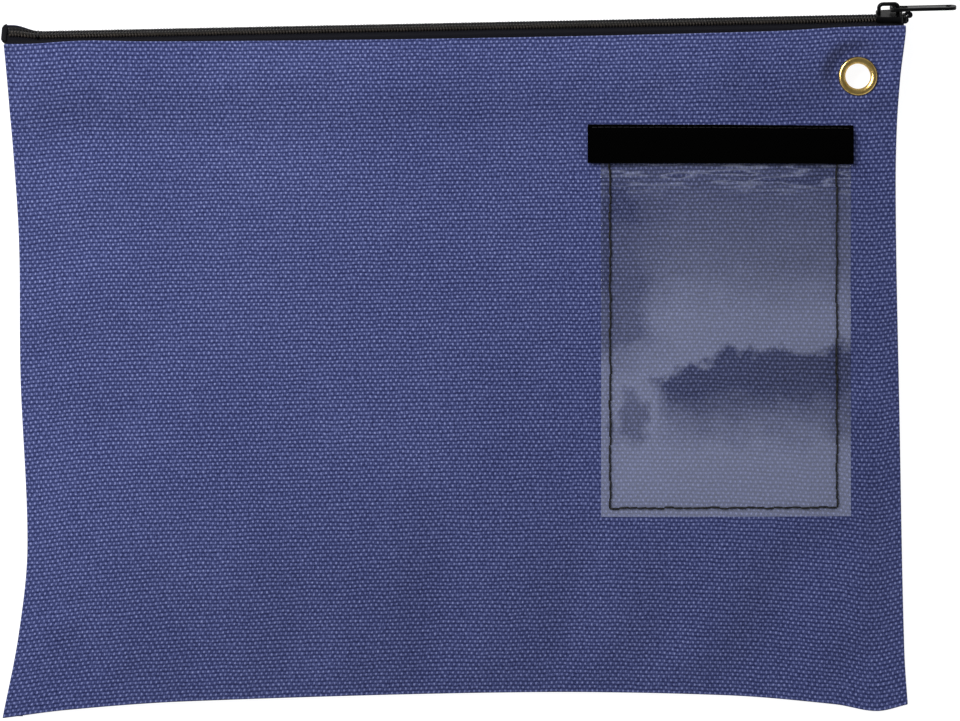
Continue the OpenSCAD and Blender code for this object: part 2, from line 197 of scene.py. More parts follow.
def linear(red, green, blue):
    """A colour given as 0..255 screen values, as the shader wants it."""
    def one(value):
        share = value / 255
        return share / 12.92 if share <= 0.04045 else ((share + 0.055) / 1.055) ** 2.4
    return (one(red), one(green), one(blue))


FLOOR_HALF = 6.0
floor_mesh = bpy.data.meshes.new("floor")
floor_mesh.from_pydata([(-FLOOR_HALF, -FLOOR_HALF, 0), (FLOOR_HALF, -FLOOR_HALF, 0),
                        (FLOOR_HALF, FLOOR_HALF, 0), (-FLOOR_HALF, FLOOR_HALF, 0)],
                       [], [(0, 1, 2, 3)])
floor = bpy.data.objects.new("floor", floor_mesh)
scene.collection.objects.link(floor)
floor_paint = Wires("floor_white")
floor_mesh.materials.append(floor_paint.finish(
    Base_Color=(0.25, 0.25, 0.25, 1), Roughness=0.9, Specular_IOR_Level=0.0,
    Emission_Color=(1, 1, 1, 1), Emission_Strength=0.93))


# ---------------------------------------------------------------------------------------------
# Front and back panels. Each is one piece of heavy navy cotton duck, about 0.9 mm thick, cut as
# a rectangle, sewn to the other inside out along three sides and turned, so that its edges are
# soft folds that draw in between the corners. The nearly empty bag swells a little.
# ---------------------------------------------------------------------------------------------
MM = 0.001
front_low, front_high = (np.array(c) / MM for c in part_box("front_panel"))
coil_middles = [sum(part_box(n), Vector()) / 2 / MM for n in ("zip_coil_front", "zip_coil_back")]
zip_along = np.array(joints["zip_slide"]["axis"])
zip_across = np.array((coil_middles[0] - coil_middles[1]).normalized())
zip_out = np.cross(zip_across, zip_along)
COIL_HEIGHT, COIL_LIFT = 2.2, 0.05
zip_middle = (np.array(coil_middles[0] + coil_middles[1]) / 2
              - zip_out * (COIL_HEIGHT / 2 + COIL_LIFT))
zip_middle = zip_middle - zip_along * (zip_middle[0] / zip_along[0])
zip_lean = math.acos(zip_across[2])
TAPE_SHOW = 6.8

CANVAS_THICK = 0.9
BAG_WIDTH = 457.0
SEAM_HEIGHT = 6.0
PANEL_GAP = 0.1
left_knots = [(0, 0), (0.12, 8), (0.25, 12.5), (0.5, 9), (0.7, 8.2), (0.86, 4.5), (1, 0.8)]
right_knots = [(0, 0), (0.1, 2.2), (0.43, 4.5), (0.78, 6.5), (0.93, 4.8), (1, 2.2)]
bottom_knots = [(0, 0), (0.07, 4.2), (0.2, 8.5), (0.57, 13), (0.8, 11.5), (0.92, 7),
                (0.965, 3.6), (1, 7)]
# How far the front canvas stands back from the zip, which bows its edge
edge_knots = [(0, 0.3), (0.03, 0.2), (0.09, -0.9), (0.15, 0), (0.28, 0.9), (0.45, 1.6),
              (0.65, 1.85), (0.8, 1.6), (0.87, 1.2), (0.93, 0.1), (1, -0.2)]
bottom_y = front_low[1]
side_length = zip_middle[1] - bottom_y - 2
rim_z = SEAM_HEIGHT + CANVAS_THICK + PANEL_GAP
front_edge_z = zip_middle[2] + TAPE_SHOW * math.cos(zip_lean) + PANEL_GAP + CANVAS_THICK
back_edge_z = zip_middle[2] - TAPE_SHOW * math.cos(zip_lean) - PANEL_GAP - CANVAS_THICK
dome = front_high[2] - rim_z
grommet_low, grommet_high = (np.array(c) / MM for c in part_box("grommet_eyelet"))
grommet = (grommet_low + grommet_high) / 2
grommet_z = 10.5
PAD_RADIUS, DIMPLE_RADIUS = 12.0, 20.0


def smooth(a, b, x):
    s = np.clip((x - a) / (b - a), 0, 1)
    return s * s * (3 - 2 * s)


def mix(a, b, s):
    return a + (b - a) * s


def curve(knots, t):
    """Smooth curve through the knots, at t from 0 to 1."""
    k = np.array(knots, float)
    rise = (k[2:, 1] - k[:-2, 1]) / (k[2:, 0] - k[:-2, 0])
    first = (k[1, 1] - k[0, 1]) / (k[1, 0] - k[0, 0])
    last = (k[-1, 1] - k[-2, 1]) / (k[-1, 0] - k[-2, 0])
    slope = np.concatenate([[first], rise, [last]])
    t = np.clip(t, 0, 1)
    i = np.clip(np.searchsorted(k[:, 0], t, side="left") - 1, 0, len(k) - 2)
    h = k[i + 1, 0] - k[i, 0]
    s = (t - k[i, 0]) / h
    return ((2 * s**3 - 3 * s**2 + 1) * k[i, 1] + (s**3 - 2 * s**2 + s) * slope[i] * h
            + (3 * s**2 - 2 * s**3) * k[i + 1, 1] + (s**3 - s**2) * slope[i + 1] * h)


def left_x(y):
    return -BAG_WIDTH / 2 + curve(left_knots, (y - bottom_y) / side_length)


def right_x(y):
    return BAG_WIDTH / 2 - curve(right_knots, (y - bottom_y) / side_length)


def low_y(x):
    return bottom_y + curve(bottom_knots, x / BAG_WIDTH + 0.5)


def zip_y(x):
    return zip_middle[1] + x * zip_along[1] / zip_along[0]


def front_top(x):
    return (zip_y(x) - TAPE_SHOW * math.sin(zip_lean) - PANEL_GAP
            - curve(edge_knots, x / BAG_WIDTH + 0.5))


def back_top(x):
    return zip_y(x) + TAPE_SHOW * math.sin(zip_lean) - 0.2


def bulge(t, power):
    return 1 - np.abs(2 * np.clip(t, 0, 1) - 1) ** power


def pinch(x, y, reach):
    dx, dy = x - grommet[0], y - grommet[1]
    return 1 - smooth(PAD_RADIUS, DIMPLE_RADIUS, np.hypot(np.where(dx > 0, dx, dx / reach), dy))


def front_z(x, y):
    """Height of the front panel's outer face."""
    u = (x - left_x(y)) / (right_x(y) - left_x(y))
    v = (y - low_y(x)) / (front_top(x) - low_y(x))
    near_zip = 1 - smooth(10.5, 50.5, front_top(x) - y)
    full = mix(rim_z, front_edge_z, near_zip) + dome * bulge(u, 2.2) * bulge(v, 2.4)
    return mix(full, grommet_z + PANEL_GAP / 2 + CANVAS_THICK, pinch(x, y, 1.0))


def rim_lift(distance, height, width=35):
    return height * (1 - np.clip(distance, 0, width) / width) ** 2


def back_z(x, y):
    """Height of the back panel's outer face, which lies on the table but for its rim."""
    edge = np.minimum(np.minimum(x - left_x(y), right_x(y) - x), y - low_y(x))
    side = rim_lift(edge, SEAM_HEIGHT - CANVAS_THICK - PANEL_GAP)
    near_zip = 1 - smooth(10.5, 50.5, back_top(x) - y)
    full = np.maximum(mix(side, np.minimum(side, back_edge_z), near_zip),
                      rim_lift(back_top(x) - y, back_edge_z))
    return mix(full, grommet_z - PANEL_GAP / 2 - CANVAS_THICK, pinch(x, y, 1.6))


CURL_START, CURL_END, CURL_TURN, CURL_RISE = -208.5, -224.0, math.radians(16), 1.9


def curl(points):
    """The zip's free left end, past the slider's reach, turns its face up and lifts a little."""
    points = np.array(points, float)
    y0 = zip_y(points[..., 0])
    dy, dz = points[..., 1] - y0, points[..., 2] - zip_middle[2]
    near = 1 - smooth(9, 42, np.hypot(dy, dz))
    share = smooth(0, CURL_START - CURL_END, CURL_START - points[..., 0]) * near
    turn = CURL_TURN * share
    points[..., 1] = y0 + dy * np.cos(turn) - dz * np.sin(turn) + CURL_RISE * share
    turned_z = zip_middle[2] + dy * np.sin(turn) + dz * np.cos(turn)
    points[..., 2] = np.maximum(turned_z, 0)
    return points


def panel_point(u, v, top, height):
    x0 = mix(-BAG_WIDTH / 2, BAG_WIDTH / 2, u)
    y = mix(low_y(x0), top(x0), v)
    x = mix(left_x(y), right_x(y), u)
    return curl(np.stack([x, y, height(x, y)], -1))


def b_spline(count, samples):
    """Weights that carry count even control values to samples, as a smooth curve."""
    t = np.clip(samples, 0, 1) * (count - 1)
    i = np.clip(t.astype(int), 0, count - 2)
    f = t - i
    weights = np.zeros((len(samples), count))
    parts = ((1 - f) ** 3 / 6, (3 * f**3 - 6 * f**2 + 4) / 6,
             (-3 * f**3 + 3 * f**2 + 3 * f + 1) / 6, f**3 / 6)
    for step, part in enumerate(parts):
        np.add.at(weights, (np.arange(len(samples)), np.clip(i + step - 1, 0, count - 1)), part)
    return weights


def rounded_lines(count, length, radius):
    """Grid shares 0..1 along length, with extra lines at both rims, and how far into the rim's
    round each lies, from 1 at the very edge to 0."""
    rim = radius * (1 - np.cos(np.radians([0, 25, 45, 65, 90])))
    inner = np.linspace(radius * 1.6, length - radius * 1.6, count)
    along = np.concatenate([rim, inner, length - rim[::-1]])
    depth = np.minimum(along, length - along)
    return along / length, np.clip(1 - depth / radius, 0, 1)


def grid_faces(rows, columns, start=0, turned=False):
    i, j = np.meshgrid(np.arange(rows - 1), np.arange(columns - 1), indexing="ij")
    a = (start + i * columns + j).ravel()
    quad = np.stack([a, a + columns, a + columns + 1, a + 1], 1)
    return quad[:, ::-1] if turned else quad


def surface_normals(points):
    du = np.gradient(points, axis=0)
    dv = np.gradient(points, axis=1)
    n = np.cross(du, dv)
    return n / np.maximum(np.linalg.norm(n, axis=-1, keepdims=True), 1e-9)


def mesh_piece(name, points, faces, material, uv=None, uv_name="cloth"):
    """A piece from points in millimetres, welded, smooth, with its own map if uv is given."""
    mesh = bpy.data.meshes.new(name)
    mesh.from_pydata((np.asarray(points) * MM).tolist(), [],
                     [[int(corner) for corner in face] for face in faces])
    if uv is not None:
        layer = mesh.uv_layers.new(name=uv_name)
        corner = np.zeros(len(mesh.loops), int)
        mesh.loops.foreach_get("vertex_index", corner)
        layer.data.foreach_set("uv", np.asarray(uv)[corner].ravel())
    mesh.materials.append(material)
    piece = bpy.data.objects.new(name, mesh)
    scene.collection.objects.link(piece)
    weld = bmesh_of(piece)
    bmesh.ops.remove_doubles(weld, verts=weld.verts, dist=2e-6)
    bmesh.ops.dissolve_degenerate(weld, edges=weld.edges, dist=1e-7)
    bmesh.ops.delete(weld, geom=[v for v in weld.verts if not v.link_faces], context="VERTS")
    weld.to_mesh(mesh)
    weld.free()
    mesh.polygons.foreach_set("use_smooth", [True] * len(mesh.polygons))
    return piece


def cloth_shell(name, points, thick, material, size, rim_u, rim_v, lines_u, lines_v):
    """Closed shell of cloth below the grid of outer points, with round rims. size is the flat
    cloth's width and length, which the map repeats in metres."""
    rows, columns = points.shape[:2]
    normal = surface_normals(points)
    edge = np.clip(np.hypot(rim_u[:, None], rim_v[None, :]), 0, 1)
    half = (thick / 2 * np.sqrt(1 - edge**2))[..., None]
    middle = points - normal * thick / 2
    outer = (middle + normal * half).reshape(-1, 3)
    inner = (middle - normal * half).reshape(-1, 3)
    faces = np.concatenate([grid_faces(rows, columns),
                            grid_faces(rows, columns, rows * columns, turned=True)])
    # Beyond a rounded corner nothing is left of the cloth, and a cell that it cuts is a triangle
    gone = np.tile((edge > 1 - 1e-6).ravel(), 2)[faces]
    cut = faces[gone.sum(axis=1) == 3]
    kept = np.argmin(gone[gone.sum(axis=1) == 3], axis=1)
    triangles = [[face[k - 1], face[k], face[(k + 1) % 4]] for face, k in zip(cut, kept)]
    faces = faces[gone.sum(axis=1) < 3].tolist() + triangles
    u, v = np.meshgrid(lines_u * size[0] * MM, lines_v * size[1] * MM, indexing="ij")
    uv = np.stack([u.ravel(), v.ravel()], 1)
    return mesh_piece(name, np.concatenate([outer, inner]), faces, material,
                      np.concatenate([uv, uv]))


def bmesh_of(piece):
    made = bmesh.new()
    made.from_mesh(piece.data)
    return made


# Plain weave: warp yarns run up the bag and weft yarns, thicker, across it.
WARP_PITCH, WEFT_PITCH = 0.00130, 0.00210


def weave(wires, place, warp_pitch, weft_pitch, wander):
    """Height of a plain weave from -1, where a weft yarn lies on top, to 1, a warp yarn; and the
    wave across the weft's rows alone."""
    parts = wires.node("ShaderNodeSeparateXYZ")
    wires.put(parts.inputs[0], place)
    drift_x = wires.math("MULTIPLY_ADD", wires.noise(place, 95, 2), wander, -wander / 2)
    drift_y = wires.math("MULTIPLY_ADD", wires.noise(place, 70, 2), wander, -wander / 2)
    waves = []
    for socket, drift, pitch in ((parts.outputs[0], drift_x, warp_pitch),
                                 (parts.outputs[1], drift_y, weft_pitch)):
        turned = wires.math("MULTIPLY", wires.math("ADD", socket, drift), math.pi / pitch)
        waves.append(wires.math("SINE", turned))
    return wires.math("MULTIPLY", waves[0], waves[1]), waves[1]


def canvas_material():
    w = Wires("navy_canvas")
    place = w.place(uv="cloth")
    lift, rows = weave(w, place, WARP_PITCH, WEFT_PITCH, 0.0018)
    row = w.math("POWER", w.math("ABSOLUTE", rows), 0.5)
    warp_hump = w.math("POWER", w.spread(lift, -0.3, 0.95), 1.05)
    weft_hump = w.math("MAXIMUM", w.math("MULTIPLY", lift, -1.0), 0.0)
    hump = w.math("MULTIPLY_ADD", warp_hump, 0.62, w.math("MULTIPLY_ADD", weft_hump, 0.2, 0.17))
    hump = w.math("MULTIPLY", hump, row)
    slub_up = w.noise(w.place(uv="cloth", scale=(560, 60, 1)), 1.0, 3)
    slub_across = w.noise(w.place(uv="cloth", scale=(60, 420, 1)), 1.0, 3)
    grain = w.noise(place, 620, 3, 0.7)
    fluff = w.noise(place, 1700, 2, 0.6)
    mottle = w.noise(place, 11, 4, 0.6)
    # Painted highlight and shade: the raised yarns of the weave are painted lighter and the
    # hollows between rows darker; the slubs, grain, fluff and mottle are the cloth's own tone
    level = w.math("MULTIPLY_ADD", hump, 1.05, 0.01)
    for amount, value in ((0.16, slub_up), (0.14, slub_across), (0.95, grain), (0.45, fluff),
                          (0.16, mottle)):
        level = w.math("ADD", level, w.math("MULTIPLY_ADD", value, amount, -amount / 2))
    colour = w.ramp(level, [(0.0, linear(22, 28, 66)), (0.25, linear(45, 52, 94)),
                            (0.5, linear(73, 80, 124)), (0.78, linear(105, 112, 157)),
                            (1.0, linear(130, 137, 181))])
    height = w.math("MULTIPLY_ADD", grain, 0.4, hump)
    return w.finish(Base_Color=colour, Roughness=0.92, Specular_IOR_Level=0.15,
                    Sheen_Weight=0.1, Sheen_Roughness=0.5, Normal=w.bump(height, 0.00025))


canvas = canvas_material()
PANEL_STEPS = (190, 148)
FLAT_WIDTH, FLAT_HEIGHT = 457.0, 352.0
SETTLE_STEPS = (76, 60)
SETTLE_FRAMES = 20
SETTLE_CAP, BACK_SETTLE_CAP = 2.6, 1.2
SETTLE_FADE = (2, 24)
HELD_ROUND_GROMMET, HELD_BESIDE_ZIP = 17, 14


def settle(name, top, height, seed, pressure, floor_stop):
    """How far each point of a coarse panel moves when slack canvas, held at its seams, at the
    zip and at the grommet, settles under a little pressure. Returns a grid of movements."""
    us, vs = (np.linspace(0, 1, n) for n in SETTLE_STEPS)
    u, v = np.meshgrid(us, vs, indexing="ij")
    start = panel_point(u, v, top, height)
    moved = np.zeros_like(start)
    rng = np.random.default_rng(seed)
    ragged = start + rng.normal(0, 0.12, start.shape) * [0, 0, 1]
    mesh = bpy.data.meshes.new(name)
    mesh.from_pydata((ragged.reshape(-1, 3) * MM).tolist(), [], grid_faces(*SETTLE_STEPS).tolist())
    cloth_piece = bpy.data.objects.new(name, mesh)
    scene.collection.objects.link(cloth_piece)
    held = cloth_piece.vertex_groups.new(name="held")
    edge = np.minimum(np.minimum(u, 1 - u) * FLAT_WIDTH, np.minimum(v, 1 - v) * FLAT_HEIGHT)
    near_grommet = np.hypot(start[..., 0] - grommet[0], start[..., 1] - grommet[1])
    near_grommet = near_grommet < HELD_ROUND_GROMMET
    near_zip = (1 - v) * FLAT_HEIGHT < HELD_BESIDE_ZIP
    fixed = (edge < 1) | near_grommet | near_zip
    held.add(np.flatnonzero(fixed.ravel()).tolist(), 1.0, "ADD")
    cloth = cloth_piece.modifiers.new("cloth", "CLOTH")
    rules = cloth.settings
    rules.quality = 6
    rules.mass = 0.35
    rules.tension_stiffness = rules.compression_stiffness = 40
    rules.shear_stiffness = 20
    rules.bending_stiffness = 6
    rules.shrink_min = -0.007
    rules.use_pressure = True
    rules.uniform_pressure_force = pressure
    rules.effector_weights.gravity = 0
    rules.vertex_group_mass = "held"
    cloth.point_cache.frame_start = 1
    cloth.point_cache.frame_end = SETTLE_FRAMES
    for step in range(1, SETTLE_FRAMES + 1):
        scene.frame_set(step)
    settled = cloth_piece.evaluated_get(bpy.context.evaluated_depsgraph_get())
    after = np.zeros(len(settled.data.vertices) * 3)
    settled.data.vertices.foreach_get("co", after)
    moved = after.reshape(start.shape) / MM - start
    moved[fixed] = 0
    moved *= smooth(*SETTLE_FADE, edge)[..., None]
    scene.frame_set(1)
    bpy.data.objects.remove(cloth_piece)
    length = np.linalg.norm(moved, axis=-1, keepdims=True)
    moved *= np.tanh(length / SETTLE_CAP) * SETTLE_CAP / np.maximum(length, 1e-6)
    moved[..., :2] *= 0.3
    if floor_stop:
        moved[..., 2] = np.clip(moved[..., 2], 0, BACK_SETTLE_CAP)
    print(name, "settled", np.abs(moved).max(), "mm")
    return moved


def panel(name, top, height, seed, pressure, back):
    """Fine closed panel with its settling and its puckered seams; the grommet's hole is cut
    afterwards by pierce.
    """
    lines_u, rim_u = rounded_lines(PANEL_STEPS[0], FLAT_WIDTH, CANVAS_THICK / 2)
    lines_v, rim_v = rounded_lines(PANEL_STEPS[1], FLAT_HEIGHT, CANVAS_THICK / 2)
    u, v = np.meshgrid(lines_u, lines_v, indexing="ij")
    points = panel_point(u, v, top, height)
    moved = settle(name + "_settling", top, height, seed, pressure, back)
    to_u, to_v = b_spline(SETTLE_STEPS[0], lines_u), b_spline(SETTLE_STEPS[1], lines_v)
    points = points + np.einsum("ac,bd,cde->abe", to_u, to_v, moved)
    x, y = points[..., 0], points[..., 1]
    side = np.minimum(u, 1 - u) * FLAT_WIDTH
    foot = v * FLAT_HEIGHT
    pucker = (np.exp(-side / 4) * np.sin(y * 2 * math.pi / 6.3 + 1.7 * np.sin(y / 19))
              + np.exp(-foot / 4) * np.sin(x * 2 * math.pi / 6.6 + 1.5 * np.sin(x / 23)))
    fold = (np.sin((x * 0.8 + y * 0.5) / 24 + 0.9 * np.sin(y / 47))
            + 0.8 * np.sin((x * 0.35 - y * 0.9) / 31 + 1.1 * np.sin(x / 58) + 1))
    calm = smooth(0, 45, np.minimum(side, np.minimum(foot, (1 - v) * FLAT_HEIGHT)))
    calm = calm * (1 - pinch(x, y, 1.6))
    lift = 0.16 * pucker * smooth(0.4, 3, np.minimum(side, foot)) + 0.35 * fold * calm
    points[..., 2] += np.maximum(lift, 0) * 0.4 if back else lift
    if back:
        points = points[:, ::-1]
        lines_v, rim_v = 1 - lines_v[::-1], rim_v[::-1]
    return cloth_shell(name, points, CANVAS_THICK, canvas, (FLAT_WIDTH, FLAT_HEIGHT),
                       rim_u, rim_v, lines_u, lines_v)


def pierce(piece, x, y, radius):
    """Cuts a round hole straight through the piece."""
    turns = np.linspace(0, 2 * math.pi, 64, endpoint=False)
    ring = np.stack([x + radius * np.cos(turns), y + radius * np.sin(turns)], 1)
    points = [(*p, z) for z in (-5, 45) for p in ring]
    count = len(turns)
    faces = [tuple(range(count - 1, -1, -1)), tuple(range(count, 2 * count))]
    faces += [(i, (i + 1) % count, count + (i + 1) % count, count + i) for i in range(count)]
    mesh = bpy.data.meshes.new("punch")
    mesh.from_pydata([tuple(c * MM for c in p) for p in points], [], faces)
    punch = bpy.data.objects.new("punch", mesh)
    scene.collection.objects.link(punch)
    cut = piece.modifiers.new("hole", "BOOLEAN")
    cut.object = punch
    cut.operation = "DIFFERENCE"
    cut.solver = "EXACT"
    made = bpy.data.meshes.new_from_object(
        piece.evaluated_get(bpy.context.evaluated_depsgraph_get()))
    piece.modifiers.clear()
    piece.data = made
    bpy.data.objects.remove(punch)


HOLE_RADIUS = 7.2
front = panel("canvas_front", front_top, front_z, 3, 0.7, back=False)
back = panel("canvas_back", back_top, back_z, 5, 0.0, back=True)
for piece, node in ((front, "front_panel"), (back, "back_panel")):
    pierce(piece, grommet[0], grommet[1], HOLE_RADIUS)
    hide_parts(node)
    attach(piece, "root")


# ---------------------------------------------------------------------------------------------
# Seams. The raw edges of both panels are bound together with dark tape inside the two sides and
# the bottom, so only a thin line of it shows in the groove between the folds.
# ---------------------------------------------------------------------------------------------
def cloth_finish(name, dark, light, warp, weft, rough=0.85, deep=0.00012, uv=None, gloss=0.2):
    """Plain woven tape, by the piece's own map if uv is given."""
    w = Wires(name)
    place = w.place(uv=uv)
    lift = weave(w, place, warp, weft, warp * 0.4)[0]
    grain = w.noise(place, 1400, 2, 0.6)
    level = w.math("ADD", w.math("MULTIPLY_ADD", lift, 0.35, 0.3), w.math("MULTIPLY", grain, 0.4))
    colour = w.ramp(level, [(0.1, linear(*dark)), (0.9, linear(*light))])
    return w.finish(Base_Color=colour, Roughness=rough, Specular_IOR_Level=gloss,
                    Normal=w.bump(level, deep))


def soften(node, width):
    """Rounds the edges of a CAD node that is shown as it is."""
    weld = nodes[node].modifiers.new("weld", "WELD")
    weld.merge_threshold = 1e-5
    bevel = nodes[node].modifiers.new("bevel", "BEVEL")
    bevel.width = width * MM
    bevel.segments = 3
    bevel.limit_method = "ANGLE"
    bevel.angle_limit = math.radians(32)
    nodes[node].modifiers.new("normals", "WEIGHTED_NORMAL").keep_sharp = True
    nodes[node].data.polygons.foreach_set("use_smooth", [True] * len(nodes[node].data.polygons))


def paint(node, material):
    nodes[node].data.materials.clear()
    nodes[node].data.materials.append(material)


binding = cloth_finish("binding_tape", (20, 22, 40), (40, 44, 74), 0.0006, 0.0006)


def softened_copy(node, name, bevel, material, bend):
    """A rounded copy of a CAD node, with its points in millimetres moved by bend."""
    mesh = nodes[node].data.copy()
    piece = bpy.data.objects.new(name, mesh)
    scene.collection.objects.link(piece)
    work = bmesh_of(piece)
    bmesh.ops.remove_doubles(work, verts=work.verts, dist=2e-5)
    sharp = [e for e in work.edges if len(e.link_faces) == 2
             and e.calc_face_angle() > math.radians(30)]
    bmesh.ops.bevel(work, geom=sharp, offset=bevel * MM, segments=3, profile=0.5,
                    affect="EDGES", clamp_overlap=True)
    bmesh.ops.triangulate(work, faces=work.faces)
    points = bend(np.array([v.co for v in work.verts]) / MM) * MM
    for vertex, place in zip(work.verts, points):
        vertex.co = place
    work.to_mesh(mesh)
    work.free()
    mesh.polygons.foreach_set("use_smooth", [True] * len(mesh.polygons))
    mesh.materials.clear()
    mesh.materials.append(material)
    return piece


for node in ("left_seam_binding", "right_seam_binding", "bottom_seam_binding"):
    piece = softened_copy(node, node + "_tape", 0.5, binding, curl)
    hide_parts(node)
    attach(piece, "root")

# Beside the zip's ends the panels stand apart, and their side seam is a folded-in wall of canvas
WALL_DEPTH, WALL_THICK = 51.0, 0.8


def side_wall(name, side):
    """The closed corner under one end of the zip; side is -1 at the left, 1 at the right."""
    lines_u, rim_u = rounded_lines(44, WALL_DEPTH, WALL_THICK / 2)
    lines_v, rim_v = rounded_lines(12, 12.0, WALL_THICK / 2)
    down, rise = np.meshgrid(lines_u * WALL_DEPTH, lines_v, indexing="ij")
    edge_x = left_x if side < 0 else right_x
    y = zip_y(side * 226.0) - 3.9 - down
    front_inside = front_z(edge_x(y) - side * 1.2, y) - CANVAS_THICK - 0.04
    back_inside = back_z(edge_x(y) - side * 1.2, y) + CANVAS_THICK + 0.04
    tall = np.maximum(front_inside - back_inside, 0.1)
    tuck = 1.3 + 0.16 * tall * np.sin(math.pi * rise) ** 0.7
    points = np.stack([edge_x(y) - side * tuck, y, back_inside + tall * rise], -1)
    if side > 0:
        points, lines_u, rim_u = points[::-1], 1 - lines_u[::-1], rim_u[::-1]
    made = cloth_shell(name, curl(points), WALL_THICK, canvas, (WALL_DEPTH, 12.0),
                       rim_u, rim_v, lines_u, lines_v)
    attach(made, "root")


side_wall("corner_wall_left", -1)
side_wall("corner_wall_right", 1)


# ---------------------------------------------------------------------------------------------
# Zip. Two black woven tapes are sewn under the canvas edges. A nylon coil is sewn along each
# tape, the two coils mesh, and stops and folded ends close the chain at both ends.
# ---------------------------------------------------------------------------------------------
def on_zip(along, across, out):
    """Points in the zip's own frame: along it, across it towards the front, out of its face."""
    along, across, out = np.broadcast_arrays(*(np.asarray(c, float) for c in (along, across, out)))
    return zip_middle + sum(value[..., None] * axis for value, axis in
                            ((along, zip_along), (across, zip_across), (out, zip_out)))


ZIP_START, ZIP_END = -227.0, 227.3
TAPE_THICK, TAPE_SEWN, TAPE_STEPS = 0.6, 8.0, 230
CHAIN_START, CHAIN_END, TAPE_INNER = -225.6, 225.4, 0.5
zip_tape = cloth_finish("zip_tape", (2, 2, 5), (19, 19, 26), 0.0005, 0.0009, 0.85, 0.0001,
                        uv="cloth", gloss=0.1)


def tape(name, side):
    """One tape: flat beside the chain, then folded under the canvas edge."""
    shown, bend = TAPE_SHOW - TAPE_INNER, 0.8
    length = shown + TAPE_SEWN
    lines_u, rim_u = rounded_lines(TAPE_STEPS, ZIP_END - ZIP_START, TAPE_THICK / 2)
    lines_v, rim_v = rounded_lines(34, length, TAPE_THICK / 2)
    along, run = np.meshgrid(mix(ZIP_START, ZIP_END, lines_u), lines_v * length, indexing="ij")
    folded = TAPE_SEWN - 3.8 * smooth(176, 182, along) * (side > 0)
    folded = folded * (1 - 0.97 * smooth(215, 226, np.abs(along)))
    lean_turn = math.pi / 2 - side * zip_lean
    bend_run = bend * lean_turn
    flat = np.minimum(run, shown - bend)
    turn = np.clip((run - shown + bend) / bend_run, 0, 1) * lean_turn
    under = np.clip(run - (shown - bend) - bend_run, 0, None) * folded / TAPE_SEWN
    # y and z from the inner edge; the fold turns from the zip's slope to level
    start = np.array([-math.sin(zip_lean), math.cos(zip_lean)]) * side
    inward = np.array([-math.cos(zip_lean), -math.sin(zip_lean)])
    reach = bend * np.sin(turn), bend * (1 - np.cos(turn))
    y = flat * start[0] + reach[0] * start[0] + reach[1] * inward[0] - under
    z = flat * start[1] + reach[0] * start[1] + reach[1] * inward[1]
    # The front tape's right end is cut on the slant
    along = along - 3.4 * smooth(212, 227, along) * smooth(0, shown, run) * (side > 0)
    points = on_zip(along, side * TAPE_INNER, 0.0)
    points[..., 1] += y
    points[..., 2] += z
    if side < 0:
        points, lines_v, rim_v = points[:, ::-1], 1 - lines_v[::-1], rim_v[::-1]
    points = points[::-1]
    made = cloth_shell(name, curl(points), TAPE_THICK, zip_tape, (ZIP_END - ZIP_START, length),
                       rim_u, rim_v, lines_u, lines_v)
    return made


def sweep(path, radius, sides=8, flat=1.0):
    """Tube along a path, with round ends; returns points and faces."""
    path = np.asarray(path, float)
    radius = np.broadcast_to(np.asarray(radius, float), len(path))
    tangent = np.gradient(path, axis=0)
    tangent /= np.linalg.norm(tangent, axis=1, keepdims=True)
    side = np.cross(tangent[0], [0.0, 0.0, 1.0])
    if np.linalg.norm(side) < 0.1:
        side = np.cross(tangent[0], [0.0, 1.0, 0.0])
    rings = []
    turns = np.linspace(0, 2 * math.pi, sides, endpoint=False)
    for centre, direction, r in zip(path, tangent, radius):
        side = side - direction * (side @ direction)
        side /= np.linalg.norm(side)
        up = np.cross(side, direction)
        rings.append(centre + r * (np.cos(turns)[:, None] * side
                                   + flat * np.sin(turns)[:, None] * up))
    points = np.concatenate(rings)
    faces = []
    for ring in range(len(path) - 1):
        for s in range(sides):
            a, b = ring * sides + s, ring * sides + (s + 1) % sides
            faces.append((a + sides, b + sides, b, a))
    faces += [tuple(range(sides)), tuple(range(len(points) - sides, len(points)))[::-1]]
    return points, faces


